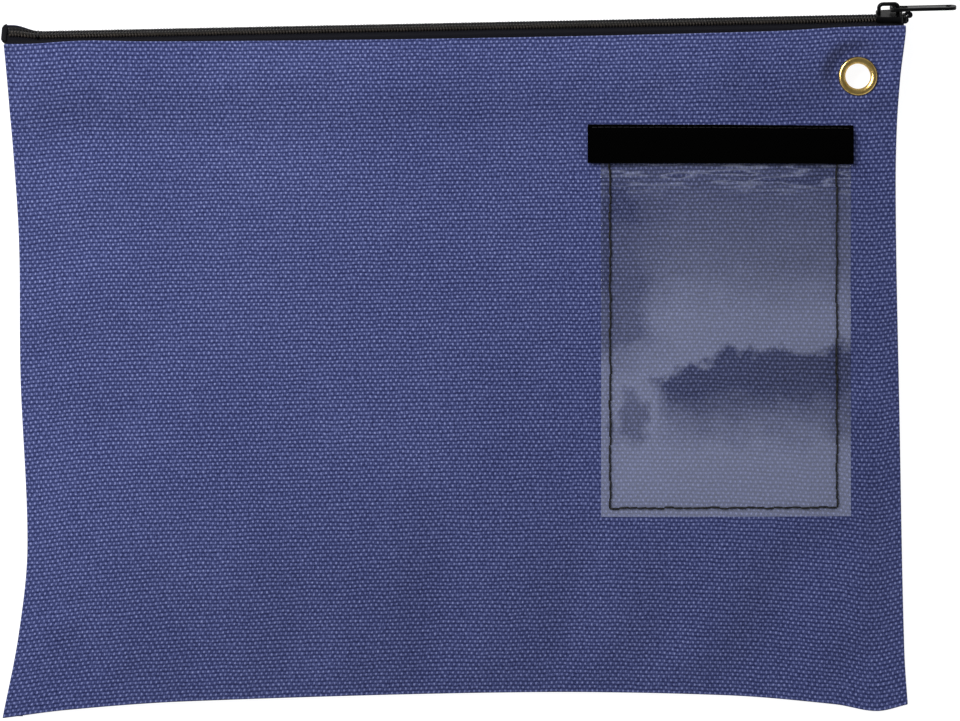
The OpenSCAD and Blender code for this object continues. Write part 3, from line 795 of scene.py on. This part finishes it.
def repeats_tree():
    """Geometry nodes that set one shape on every point, turned to the point's along and up."""
    tree = bpy.data.node_groups.new("repeats", "GeometryNodeTree")
    face = tree.interface
    face.new_socket("Geometry", in_out="INPUT", socket_type="NodeSocketGeometry")
    for label, kind in (("Shape", "Object"), ("Turn", "Float"), ("Size spread", "Float"),
                        ("Seed", "Int"), ("Finish", "Material")):
        face.new_socket(label, in_out="INPUT", socket_type="NodeSocket" + kind)
    face.new_socket("Geometry", in_out="OUTPUT", socket_type="NodeSocketGeometry")
    node, link = tree.nodes.new, tree.links.new
    given, result = node("NodeGroupInput"), node("NodeGroupOutput")
    aim = node("FunctionNodeAxesToRotation")
    aim.primary_axis, aim.secondary_axis = "X", "Z"
    for label, socket in (("along", aim.inputs[0]), ("up", aim.inputs[1])):
        read = node("GeometryNodeInputNamedAttribute")
        read.data_type = "FLOAT_VECTOR"
        read.inputs["Name"].default_value = label
        link(read.outputs["Attribute"], socket)
    shape = node("GeometryNodeObjectInfo")
    link(given.outputs["Shape"], shape.inputs["Object"])
    spread = node("GeometryNodeInstanceOnPoints")
    link(given.outputs["Geometry"], spread.inputs["Points"])
    link(shape.outputs["Geometry"], spread.inputs["Instance"])
    link(aim.outputs[0], spread.inputs["Rotation"])
    least = node("ShaderNodeMath")
    least.operation = "MULTIPLY"
    least.inputs[1].default_value = -1
    link(given.outputs["Turn"], least.inputs[0])
    wobble = node("FunctionNodeRandomValue")
    wobble.data_type = "FLOAT_VECTOR"
    link(least.outputs[0], wobble.inputs[0])
    link(given.outputs["Turn"], wobble.inputs[1])
    link(given.outputs["Seed"], wobble.inputs["Seed"])
    turned = node("GeometryNodeRotateInstances")
    link(spread.outputs[0], turned.inputs["Instances"])
    link(wobble.outputs[0], turned.inputs["Rotation"])
    low, high = node("ShaderNodeMath"), node("ShaderNodeMath")
    for made, operation in ((low, "SUBTRACT"), (high, "ADD")):
        made.operation = operation
        made.inputs[0].default_value = 1
        link(given.outputs["Size spread"], made.inputs[1])
    size = node("FunctionNodeRandomValue")
    size.data_type = "FLOAT"
    link(low.outputs[0], size.inputs[2])
    link(high.outputs[0], size.inputs[3])
    link(given.outputs["Seed"], size.inputs["Seed"])
    scaled = node("GeometryNodeScaleInstances")
    link(turned.outputs[0], scaled.inputs["Instances"])
    link(size.outputs[1], scaled.inputs["Scale"])
    real, finish = node("GeometryNodeRealizeInstances"), node("GeometryNodeSetMaterial")
    link(scaled.outputs[0], real.inputs[0])
    link(real.outputs[0], finish.inputs["Geometry"])
    link(given.outputs["Finish"], finish.inputs["Material"])
    link(finish.outputs[0], result.inputs[0])
    return tree


repeats = repeats_tree()


def repeat(name, centres, along, up, shape, material, turn=0.0, size_spread=0.0, seed=1):
    """The shape, given as points and faces in millimetres, set on every centre."""
    centres = np.asarray(centres, float).reshape(-1, 3)
    pattern = bpy.data.meshes.new("pattern")
    pattern.from_pydata((np.asarray(shape[0]) * MM).tolist(), [], shape[1])
    pattern.polygons.foreach_set("use_smooth", [True] * len(pattern.polygons))
    model = bpy.data.objects.new("pattern", pattern)
    scene.collection.objects.link(model)
    mesh = bpy.data.meshes.new(name)
    mesh.from_pydata((centres * MM).tolist(), [], [])
    for label, value in (("along", along), ("up", up)):
        layer = mesh.attributes.new(label, "FLOAT_VECTOR", "POINT")
        layer.data.foreach_set("vector", np.broadcast_to(value, centres.shape).ravel())
    piece = bpy.data.objects.new(name, mesh)
    scene.collection.objects.link(piece)
    setting = piece.modifiers.new("repeats", "NODES")
    setting.node_group = repeats
    values = {"Shape": model, "Turn": turn, "Size spread": size_spread, "Seed": seed,
              "Finish": material}
    for item in repeats.interface.items_tree:
        if item.in_out == "INPUT" and item.name in values:
            setting[item.identifier] = values[item.name]
    piece.update_tag()
    made = bpy.data.meshes.new_from_object(
        piece.evaluated_get(bpy.context.evaluated_depsgraph_get()))
    piece.modifiers.clear()
    piece.data = made
    bpy.data.objects.remove(model)
    if not made.materials:
        made.materials.append(material)
    return piece


def thread_stitch(length, radius, sink, sides=8):
    """One stitch: thread that rises out of the cloth, lies over it and dips in again."""
    share = np.linspace(-1, 1, 11)
    path = np.stack([share * length / 2, 0 * share,
                     radius * 0.9 - (radius * 1.4 + sink) * np.abs(share) ** 5], 1)
    return sweep(path, radius * (1 - 0.3 * np.abs(share) ** 4), sides)


def coil_material(name, dark, light):
    w = Wires(name)
    tint = w.noise(w.place(), 160, 2)
    colour = w.mix(tint, (*linear(*dark), 1), (*linear(*light), 1))
    return w.finish(Base_Color=colour, Roughness=0.42, Specular_IOR_Level=0.3)


def thread_material(name, dark, light):
    w = Wires(name)
    place = w.place()
    fuzz = w.noise(place, 2600, 2, 0.7)
    colour = w.mix(fuzz, (*linear(*dark), 1), (*linear(*light), 1))
    return w.finish(Base_Color=colour, Roughness=0.7, Specular_IOR_Level=0.3,
                    Normal=w.bump(fuzz, 0.00008))


COIL_PITCH, FILAMENT = 1.55, 0.33
# Lit and shaded copies of one black nylon: the front coil is painted lighter brown as painted
# highlight, and the back coil darker as painted shade
coil_lit_and_shaded = {1: coil_material("coil_nylon", (22, 20, 18), (72, 64, 57)),
               -1: coil_material("coil_nylon_black", (6, 6, 7), (22, 20, 19))}
black_thread = thread_material("black_thread", (0, 0, 2), (10, 10, 13))
coil_thread = thread_material("coil_thread", (8, 8, 9), (26, 24, 22))
tapes = {side: tape(name, side) for name, side in (("tape_front", 1), ("tape_back", -1))}
turn_knots = np.array([
    (0.00, 2.40, 1.70), (0.12, 1.8, 1.78), (0.30, 0.9, 1.75), (0.42, 0.1, 1.6),
    (0.50, -0.18, 1.08), (0.58, 0.1, 0.56), (0.68, 0.9, 0.42), (0.80, 1.8, 0.40),
    (0.90, 2.40, 0.46), (0.96, 2.56, 1.08), (1.00, 2.40, 1.70)])
turn_knots[:, 0] *= COIL_PITCH
turn_shape = sweep(turn_knots, [1, 1, 1, 1.12, 1.25, 1.12, 1, 1, 1, 1, 1] * np.array(FILAMENT), 6)
places = np.arange(CHAIN_START + 0.4, CHAIN_END - COIL_PITCH - 0.4, COIL_PITCH)


def bent_frame(along, across, out):
    """Points on the curled zip with the directions along it and out of it."""
    here = curl(on_zip(along, across, out))
    ahead = curl(on_zip(np.asarray(along) + 0.5, across, out)) - here
    above = curl(on_zip(along, across, np.asarray(out) + 0.5)) - here
    return (here, ahead / np.linalg.norm(ahead, axis=1, keepdims=True),
            above / np.linalg.norm(above, axis=1, keepdims=True))


coils = {}
for side, name in ((1, "coil_front"), (-1, "coil_back")):
    shift = COIL_PITCH * 1.5 if side > 0 else 0.0
    here, ahead, above = bent_frame(places + shift, 0 * places, 0 * places)
    # The front coil is the same coil turned half round, so the heads fall between each other
    coils[side] = repeat(name, here, -side * ahead, above, turn_shape, coil_lit_and_shaded[side])
threads = []
for side in (1, -1):
    for across in (1.3, 2.1):
        here, ahead, above = bent_frame(places + 0.6 * COIL_PITCH, 0 * places + side * across,
                                        0 * places + 2.08)
        threads.append((here, ahead, above))
here, ahead, above = (np.concatenate(part) for part in zip(*threads))
coil_rows = repeat("coil_thread_rows", here, ahead, above,
                   thread_stitch(COIL_PITCH * 1.02, 0.15, 0.25, 6), coil_thread, 0.05, 0.1, 11)

seam_runs = []
for side in (1, -1):
    along = np.arange(ZIP_START + 6, ZIP_END - 6, 3.2)
    here = on_zip(along, side * TAPE_SHOW, 0.0)
    here[:, 1] -= 3.4
    here[:, 2] -= side * (TAPE_THICK + 0.02)
    seam_runs.append((curl(here), np.broadcast_to(zip_along, here.shape),
                      np.broadcast_to([0, 0, -side], here.shape)))
here, ahead, above = (np.concatenate(part) for part in zip(*seam_runs))
seam_rows = repeat("zip_seam_rows", here, ahead, above, thread_stitch(2.9, 0.22, 0.2, 6),
                   black_thread, 0.04, 0.05, 12)


def black_metal_material():
    w = Wires("black_enamel")
    place = w.place()
    wear = w.noise(place, 420, 3)
    return w.finish(Base_Color=w.mix(wear, (*linear(0, 0, 1), 1), (*linear(6, 6, 7), 1)),
                    Metallic=0.0, Roughness=w.spread(wear, 0.3, 0.7, 0.32, 0.46),
                    Specular_IOR_Level=0.14)


black_metal = black_metal_material()
for node, width in (("slider_body", 0.35), ("zip_top_stops", 0.4)):
    soften(node, width)
    paint(node, black_metal)

# The slider's crown is thick wire. The pull is a thick casting, and its two arms thicken
# towards their cross bar
pivot = np.array(joints["pull_hinge"]["pos_m"]) / MM
swing = np.array(joints["pull_hinge"]["axis"])
pull_tip = np.array(sum(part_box("slider_pull"), Vector())) / 2 / MM - pivot
pull_along = pull_tip / np.linalg.norm(pull_tip)
pull_face = np.cross(swing, pull_along)
PULL_SWELL = 1.6


def swell(points):
    """The pull's points moved out from its middle plane."""
    return points + (PULL_SWELL - 1) * ((points - pivot) @ pull_face)[:, None] * pull_face


pull = softened_copy("slider_pull", "pull_casting", 0.3, black_metal, swell)
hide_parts("slider_pull")
CROWN_BEND, CROWN_FOOT, CROWN_TOP = 2.0, -2.9, 2.75
CROWN_BACK, CROWN_FRONT = -6.5, 3.1
crown = np.array([(CROWN_BACK, CROWN_FOOT), (CROWN_BACK, -1.5), (CROWN_BACK, 0),
                  *[(CROWN_BACK + CROWN_BEND * (1 - math.cos(a)),
                     CROWN_TOP - CROWN_BEND * (1 - math.sin(a)))
                    for a in np.radians(np.linspace(0, 90, 7))],
                  *[(CROWN_FRONT - CROWN_BEND * (1 - math.sin(a)),
                     CROWN_TOP - CROWN_BEND * (1 - math.cos(a)))
                    for a in np.radians(np.linspace(0, 90, 7))],
                  (CROWN_FRONT, 0), (CROWN_FRONT, -1.5), (CROWN_FRONT, CROWN_FOOT)])
crown_path = pivot + crown[:, :1] * zip_along + crown[:, 1:] * zip_out
crown_points, crown_faces = sweep(crown_path, 1.0, 16)
crown_wire = mesh_piece("slider_crown_wire", crown_points, crown_faces, black_metal)
arm_reach = np.array([-0.95, -0.75, -0.2, 1.5, 4.0, 6.5, 8.4, 9.2])
arm_thick = np.array([0.5, 0.9, 1.1, 1.1, 1.05, 1.0, 0.9, 0.5])
arms = []
for side in (-1, 1):
    arm_path = pivot + side * 2.05 * swing + arm_reach[:, None] * pull_along
    arms.append(sweep(arm_path, arm_thick, 16))
arm_faces = arms[0][1] + [tuple(i + len(arms[0][0]) for i in f) for f in arms[1][1]]
pull_arms = mesh_piece("pull_arms", np.concatenate([a[0] for a in arms]), arm_faces, black_metal)
for piece, body in ((crown_wire, "slider"), (pull_arms, "pull"), (pull, "pull")):
    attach(piece, body)


# A low staple round the chain stops the slider at the left
stop_x = sum(c[0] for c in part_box("zip_bottom_stop")) / 2 / MM
staple = np.array([(stop_x, -3.1, 0.1), (stop_x, -3.1, 1.5), (stop_x, -2.8, 2.1),
                   (stop_x, -2.1, 2.3), (stop_x, 0, 2.35), (stop_x, 2.1, 2.3),
                   (stop_x, 2.8, 2.1), (stop_x, 3.1, 1.5), (stop_x, 3.1, 0.1)])
staple_points, staple_faces = sweep(staple, 0.5, 12, 0.3)
# The zip's frame is a mirror image of the bag's, so the faces are turned round
bottom_stop = mesh_piece("bottom_staple", curl(on_zip(*staple_points.T)),
                         [face[::-1] for face in staple_faces], black_metal)


def band(name, path, half_width, thick, material, rounding=0.0, steps=20, middle=0.0):
    """Strip of tape that follows a path of (along, out) points in the zip's frame. Its sides
    draw in by rounding where the path reaches furthest along."""
    path = np.asarray(path, float)
    run = np.concatenate([[0], np.cumsum(np.linalg.norm(np.diff(path, axis=0), axis=1))])
    lines_u, rim_u = rounded_lines(44, run[-1], thick / 2)
    lines_v, rim_v = rounded_lines(steps, 2 * half_width, thick / 2)
    along, out = (b_spline(len(path), lines_u) @ path[:, axis] for axis in (0, 1))
    reach = np.abs(along) - np.abs(along).min()
    draw = rounding * (reach / reach.max()) ** 3
    half = (half_width - draw)[:, None]
    across = middle + mix(-half, half, lines_v[None, :])
    points = on_zip(along[:, None], across, out[:, None])
    return cloth_shell(name, curl(points), thick, material, (run[-1], 2 * half_width),
                       rim_u, rim_v, lines_u, lines_v)


end_cloth = cloth_finish("zip_end_cloth", (2, 2, 4), (18, 18, 23), 0.0006, 0.0006, 0.85,
                         uv="cloth", gloss=0.1)
ends = [band("zip_end_left_fold", [(-224.6, -1.15), (-225.4, -1.15), (-226.4, -1.15),
                                   (-227.4, -1.1), (-228.5, -0.8), (-228.95, 0.15),
                                   (-228.4, 1.1), (-227.2, 1.35), (-226.4, 1.25),
                                   (-225.9, 1.0)][::-1], 6.4, 0.6, end_cloth, 2.4),
        band("zip_end_right_fold", [(225.4, -1.15), (226.0, -1.15), (226.6, -1.15),
                                    (227.2, -1.1), (228.0, -0.8), (228.4, -0.05),
                                    (228.0, 0.75), (227.6, 0.9), (227.5, 0.7)],
             4.1, 0.6, end_cloth, 1.8, middle=-1.6)]
tail = band("zip_end_tail", [(227.9, 1.1), (228.3, 1.15), (229.0, 1.2), (229.8, 1.6),
                             (230.3, 2.6), (229.9, 3.7), (228.9, 4.3), (227.7, 4.4),
                             (226.7, 4.1), (226.0, 3.5)], 1.2, 1.25, end_cloth, 0.0, 6)
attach(tail, "root")

for piece, node, slot in ((tapes[1], "zip_tape_front", "zip_tape"),
                          (tapes[-1], "zip_tape_back", "zip_tape"),
                          (coils[1], "zip_coil_front", "coil"),
                          (coils[-1], "zip_coil_back", "coil"),
                          (coil_rows, "coil_threads", "thread"),
                          (seam_rows, "zip_seam_stitches", "thread"),
                          (bottom_stop, "zip_bottom_stop", "black_metal"),
                          (ends[0], "zip_end_left", "zip_tape"),
                          (ends[1], "zip_end_right", "zip_tape")):
    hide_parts(node)
    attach(piece, "root")


# ---------------------------------------------------------------------------------------------
# Grommet. A brass eyelet is pushed through both panels and its barrel is rolled over a brass
# washer at the back.
# ---------------------------------------------------------------------------------------------
EYE_RADIUS, FLANGE_RADIUS, BARREL_RADIUS = 6.3, 9.9, 7.0
eye_top, eye_foot = grommet_high[2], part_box("grommet_eyelet")[0][2] / MM


def lathe(name, profile, material, sides=96):
    """Closed ring turned from a profile of (radius, height) about the grommet's axis."""
    profile = np.asarray(profile, float)
    turns = np.linspace(0, 2 * math.pi, sides, endpoint=False)
    r, z = profile[:, 0], profile[:, 1]
    points = np.stack([grommet[0] + r * np.cos(turns)[:, None],
                       grommet[1] + r * np.sin(turns)[:, None],
                       np.broadcast_to(z, (sides, len(z)))], -1).reshape(-1, 3)
    count = len(profile)
    faces = [(i * count + j, ((i + 1) % sides) * count + j,
              ((i + 1) % sides) * count + (j + 1) % count, i * count + (j + 1) % count)
             for i in range(sides) for j in range(count)]
    return mesh_piece(name, points, faces, material)


def arc(centre_r, centre_z, radius, start, stop, steps):
    turn = np.radians(np.linspace(start, stop, steps))
    return [(centre_r + radius * math.cos(a), centre_z + radius * math.sin(a)) for a in turn]


def brass_material():
    w = Wires("brass")
    place = w.place()
    tarnish = w.noise(place, 380, 3)
    colour = w.mix(w.spread(tarnish, 0.4, 0.75), (*linear(222, 190, 118), 1),
                   (*linear(176, 142, 70), 1))
    return w.finish(Base_Color=colour, Metallic=1.0,
                    Roughness=w.spread(tarnish, 0.3, 0.8, 0.16, 0.3))


brass = brass_material()
bed = grommet_z + PANEL_GAP / 2 + CANVAS_THICK + 0.05
rise = eye_top - bed
crest_r = (EYE_RADIUS + FLANGE_RADIUS) / 2 + 0.4
# Face: out from the bore over a rounded crest to an edge that turns down onto the cloth
face_turns = np.radians(np.linspace(180, 0, 21))
face = [(crest_r + (FLANGE_RADIUS - crest_r if math.cos(a) > 0 else crest_r - EYE_RADIUS)
         * math.cos(a), bed + rise * math.sin(a) ** 0.75) for a in face_turns]
eyelet = lathe("brass_eyelet", face[1:-1] + [
    (FLANGE_RADIUS, bed + 0.25), (FLANGE_RADIUS - 0.15, bed), (FLANGE_RADIUS - 0.6, bed + 0.05),
    (crest_r, bed + 0.3), (BARREL_RADIUS, bed), (BARREL_RADIUS, eye_foot + 1.0),
    *arc(BARREL_RADIUS + 0.25, eye_foot + 0.6, 0.35, 110, 0, 5),
    *arc(BARREL_RADIUS + 0.1, eye_foot + 0.55, 0.55, -15, -130, 7),
    (EYE_RADIUS + 0.12, eye_foot + 0.7), (EYE_RADIUS, eye_foot + 1.2), (EYE_RADIUS, bed + 0.2)],
    brass)
back_bed = grommet_z - PANEL_GAP / 2 - CANVAS_THICK - 0.05
washer_r = BARREL_RADIUS + 0.1
washer = lathe("brass_washer", [
    (washer_r, back_bed), (washer_r, back_bed - 0.35), (washer_r + 1.0, back_bed - 0.62),
    (washer_r + 1.9, back_bed - 0.5), (FLANGE_RADIUS - 0.12, back_bed - 0.2),
    (FLANGE_RADIUS - 0.12, back_bed - 0.02)][::-1], brass)
for piece, node in ((eyelet, "grommet_eyelet"), (washer, "grommet_washer")):
    turned = bmesh_of(piece)
    bmesh.ops.recalc_face_normals(turned, faces=turned.faces)
    turned.to_mesh(piece.data)
    turned.free()
    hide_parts(node)
    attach(piece, "root")


# ---------------------------------------------------------------------------------------------
# Card window. A sheet of clear vinyl lies on the front panel, sewn to it with thick black thread
# down both sides and across the bottom, and is open at the top. Its colour is a milky film with
# painted reflection and painted shade, and it is a little wavy where no stitches hold it down.
# ---------------------------------------------------------------------------------------------
window_low, window_high = (np.array(c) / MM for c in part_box("window_sheet"))
WINDOW_W, WINDOW_H = 126.0, 189.1
window_x, window_y = window_low[0], window_low[1]
VINYL_THICK = 0.4
SEAM, RIGHT_SEAM = 4.5, 7.2
front_tree = BVHTree.FromPolygons([v.co for v in front.data.vertices],
                                  [p.vertices for p in front.data.polygons])


def on_canvas(x, y):
    """Height of the finished front panel's face above each point."""
    shape = np.shape(x)
    heights = []
    for a, b in zip(np.ravel(x), np.ravel(y)):
        hit = front_tree.ray_cast(Vector((a * MM, b * MM, 0.1)), Vector((0, 0, -1)))[0]
        heights.append(hit.z / MM)
    return np.array(heights).reshape(shape)


def sheet_lift(x, y):
    """How far the vinyl stands off the canvas: nothing at its seams, gentle waves between."""
    across, up = x - window_x, y - window_y
    inner = np.minimum(np.minimum(across - SEAM, WINDOW_W - RIGHT_SEAM - across), up - SEAM)
    free = smooth(0, 26, inner)
    edge = 0.18 * smooth(0, 3, -inner)
    waves = (0.5 + 0.5 * np.sin(up / 15 + 0.8 * np.sin(across / 21) + 0.6)) * 0.8
    cross_waves = (0.5 + 0.5 * np.sin(across / 11 + 0.9 * np.sin(up / 27) + 2)) * 0.45
    buckle = 0.9 * np.exp(-((across - 36) / 17) ** 2 - ((up - 170) / 3.4) ** 2)
    return free * (waves + cross_waves) + buckle * smooth(0, 12, inner) + edge


def vinyl_material():
    """Clear film whose milky colour is partly the film's own and partly painted reflection:
    lighter and darker clouds, painted shade down its left edge and painted highlight lines under
    the flap.
    """
    w = Wires("clear_vinyl")
    place = w.place(uv="cloth", scale=(1000 / WINDOW_W, 1000 / WINDOW_H, 1))
    parts = w.node("ShaderNodeSeparateXYZ")
    w.put(parts.inputs[0], place)
    ragged = w.math("SUBTRACT", w.noise(place, 6.0, 6, 0.62), 0.5)
    ragged_up = w.math("SUBTRACT", w.noise(w.place(uv="cloth", scale=(70, 75, 1)), 1.0, 6, 0.6),
                       0.5)
    u = w.math("MULTIPLY_ADD", ragged, 0.34, parts.outputs[0])
    v = w.math("MULTIPLY_ADD", ragged_up, 0.15, parts.outputs[1])

    def within(value, a, b, c, d):
        """1 from b to c, fading to 0 at a and d."""
        return w.math("MULTIPLY", w.spread(value, a, b), w.spread(value, d, c))

    def both(*values):
        result = values[0]
        for value in values[1:]:
            result = w.math("MULTIPLY", result, value)
        return result

    # Milky film and painted reflection: the film is brightest at the bottom and fades towards the
    # top
    film_and_painted_reflection_fade = w.ramp(v, [(0.0, (1,) * 3), (0.12, (1,) * 3), (0.54, (0.92,) * 3),
                      (0.66, (0.5,) * 3), (0.8, (0.27,) * 3), (0.93, (0.12,) * 3)])
    # Painted reflection: darker clouds and patches where the film's colour is taken away
    crest = w.spread(u, 0.26, 0.52, 0.385, 0.455)
    cloud = both(w.spread(w.math("SUBTRACT", crest, v), 0.0, 0.025), w.spread(v, 0.17, 0.34),
                 w.spread(u, 0.19, 0.27))
    spot = both(within(u, 0.05, 0.08, 0.13, 0.16), within(v, 0.18, 0.22, 0.31, 0.35), 0.6)
    tall = both(w.spread(u, 0.27, 0.14), within(v, 0.4, 0.47, 0.64, 0.74), 0.72)
    high = both(w.spread(u, 0.17, 0.11), within(v, 0.73, 0.79, 0.87, 0.91))
    side = both(w.spread(u, 0.3, 0.1), w.spread(v, 0.36, 0.5), 0.6)
    # Painted shade down the window's left edge
    painted_margin_shade = both(w.spread(parts.outputs[0], 0.045, 0.03), w.spread(v, 0.4, 0.62), 0.97)
    clear = cloud
    for other in (spot, tall, high, side, painted_margin_shade):
        clear = w.math("MAXIMUM", clear, other)
    # Painted reflection of small buckles just under the flap: dark patches and painted highlight
    # lines
    streak = w.noise(w.place(uv="cloth", scale=(32, 210, 1)), 1.0, 2)
    near_flap = within(parts.outputs[1], 0.84, 0.89, 0.93, 0.98)
    clear = w.math("MAXIMUM", clear, both(w.spread(streak, 0.56, 0.62), near_flap))
    shine = both(within(streak, 0.47, 0.51, 0.54, 0.56), near_flap, 0.55)
    milky_film_and_painted_reflection = w.math("ADD", both(film_and_painted_reflection_fade, w.math("SUBTRACT", 1.0, w.math("MULTIPLY", clear, 0.96))),
                  shine)
    colour = w.mix(milky_film_and_painted_reflection, (0.03, 0.032, 0.015, 1), (0.56, 0.60, 0.74, 1))
    return w.finish(Base_Color=colour, Alpha=0.115, Roughness=0.12, IOR=1.53,
                    Specular_IOR_Level=1.0)


vinyl = vinyl_material()


def patch(name, x0, x1, y0, y1, base, thick, material, steps):
    """Sheet that follows the front panel over a rectangle; base(x, y) is its underside's height
    above the canvas."""
    size = (x1 - x0, y1 - y0)
    lines_u, rim_u = rounded_lines(steps[0], size[0], thick / 2)
    lines_v, rim_v = rounded_lines(steps[1], size[1], thick / 2)
    x, y = np.meshgrid(mix(x0, x1, lines_u), mix(y0, y1, lines_v), indexing="ij")
    z = on_canvas(x, y) + base(x, y) + thick
    return cloth_shell(name, np.stack([x, y, z], -1), thick, material, size,
                       rim_u, rim_v, lines_u, lines_v)


window = patch("window_vinyl", window_x, window_x + WINDOW_W, window_y, window_y + WINDOW_H,
               lambda x, y: 0.15 + sheet_lift(x, y), VINYL_THICK, vinyl, (84, 116))
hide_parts("window_sheet")
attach(window, "root")

FLAP_LOW, FLAP_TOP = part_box("window_flap")[0][1] / MM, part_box("flap_sewn_edge")[1][1] / MM
flap_x0, flap_x1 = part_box("window_flap")[0][0] / MM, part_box("window_flap")[1][0] / MM


def stitch_line(start, stop, pitch, lift, wander):
    """Centres and directions of stitches from start to stop, lift above the canvas."""
    start, stop = np.array(start), np.array(stop)
    count = round(np.linalg.norm(stop - start) / pitch)
    share = (np.arange(count) + 0.5) / count
    across = np.array([stop[1] - start[1], start[0] - stop[0]]) / np.linalg.norm(stop - start)
    drift = wander * (np.sin(share * 37 + 1) + np.sin(share * 91)) / 2
    spots = mix(start, stop, share[:, None]) + across * drift[:, None]
    ends = [spots + (stop - start) * side * 0.5 / count for side in (-1, 1)]
    heights = [on_canvas(e[:, 0], e[:, 1]) + lift(e[:, 0], e[:, 1]) for e in (*ends, spots)]
    tips = [np.column_stack([e, h]) for e, h in zip(ends, heights)]
    centres = np.column_stack([spots, heights[2]])
    return centres, tips[1] - tips[0]


def on_vinyl(x, y):
    return 0.15 + sheet_lift(x, y) + VINYL_THICK


corners = [(window_x + SEAM, FLAP_LOW + 2), (window_x + SEAM, window_y + SEAM),
           (window_x + WINDOW_W - RIGHT_SEAM, window_y + SEAM),
           (window_x + WINDOW_W - RIGHT_SEAM, FLAP_LOW + 2)]
runs = [stitch_line(a, b, 4.5, on_vinyl, 0.35) for a, b in zip(corners, corners[1:])]
centres, along = (np.concatenate(part) for part in zip(*runs))
window_thread = repeat("window_thread", centres, along, (0, 0, 1),
                       thread_stitch(4.6, 0.5, 0.35, 10), black_thread, 0.09, 0.06, 21)
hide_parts("window_stitches")
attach(window_thread, "root")


# ---------------------------------------------------------------------------------------------
# Window flap. A black woven tape is sewn to the front panel along its top edge and folds down
# over the window's mouth. Hook tape under it presses on loop tape on the vinyl.
# ---------------------------------------------------------------------------------------------
HINGE_Y = 117.2
STRIP_THICK, FLAP_THICK = 0.35, 0.8
LOOP_BASE = 0.8
HOOK_BASE = LOOP_BASE + 2 * STRIP_THICK + 0.35
FLAP_BASE = HOOK_BASE + STRIP_THICK + 0.02
strip_low, strip_high = FLAP_LOW + 1.5, window_y + WINDOW_H - 0.8
strip_x0, strip_x1 = window_x + 1, window_x + WINDOW_W - 1
flap_cloth = cloth_finish("flap_tape", (0, 0, 0), (3, 3, 3), 0.0007, 0.0011, 1.0, 0.0001,
                          uv="cloth", gloss=0.01)
strip_cloth = cloth_finish("hook_loop_base", (4, 4, 5), (20, 20, 22), 0.0006, 0.0006, 0.9)


def flap_height(x, y):
    """Underside of the flap: pressed onto the canvas at its seam, up over the hook tape below."""
    return mix(FLAP_BASE, 0.12, smooth(HINGE_Y - 0.2, HINGE_Y + 2.6, y))


flap = patch("flap_tape", flap_x0, flap_x1, FLAP_LOW, FLAP_TOP, flap_height, FLAP_THICK,
             flap_cloth, (90, 34))
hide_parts("window_flap", "flap_sewn_edge")
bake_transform(flap)


def strip_points(pitch_x, pitch_y, base):
    """Staggered spots over a strip, base above the canvas."""
    x, y = np.meshgrid(np.arange(strip_x0 + 1, strip_x1 - 0.8, pitch_x),
                       np.arange(strip_low + 0.8, strip_high - 0.6, pitch_y))
    x = x + (np.arange(len(x)) % 2)[:, None] * pitch_x / 2
    return np.column_stack([x.ravel(), y.ravel(), (on_canvas(x, y) + base).ravel()])


turn = np.radians(np.linspace(0, 230, 9))
hook_path = np.array([(0, 0, 0), (0, 0, 0.16)] + [
    (0.1 - 0.1 * math.cos(a), 0, 0.16 + 0.12 * math.sin(a)) for a in turn[1:]])
turn = np.radians(np.linspace(0, 180, 9))
loop_path = np.array([(-0.2 * math.cos(a), 0.06 * math.cos(2 * a), 0.34 * math.sin(a) - 0.03)
                      for a in turn])
for name, node, base, body in (("loop_tape", "window_loop_strip", LOOP_BASE, "root"),
                               ("hook_tape", "flap_hook_strip", HOOK_BASE, "flap")):
    strip = patch(name, strip_x0, strip_x1, strip_low, strip_high,
                  lambda x, y, base=base: base + 0 * x, STRIP_THICK, strip_cloth, (80, 12))
    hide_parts(node)
    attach(strip, body)
hooks = repeat("hooks", strip_points(1.25, 0.95, HOOK_BASE), (1, 0, 0), (0, 0, -1),
               sweep(hook_path, 0.055, 5), black_thread, 0.2, 0.15, 31)
loops = repeat("loops", strip_points(0.9, 0.7, LOOP_BASE + STRIP_THICK), (1, 0, 0), (0, 0, 1),
               sweep(loop_path, 0.035, 4), black_thread, 0.9, 0.25, 32)
for piece, body in ((hooks, "flap"), (loops, "root")):
    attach(piece, body)

flap_seam = FLAP_TOP - 1.5
centres, along = stitch_line((flap_x0 + 2, flap_seam), (flap_x1 - 2, flap_seam), 3.2,
                             lambda x, y: flap_height(x, y) + FLAP_THICK, 0.1)
flap_thread = repeat("flap_thread", centres, along, (0, 0, 1), thread_stitch(3.0, 0.2, 0.25, 8),
                     black_thread, 0.05, 0.05, 33)
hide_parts("flap_stitches")
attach(flap_thread, "root")
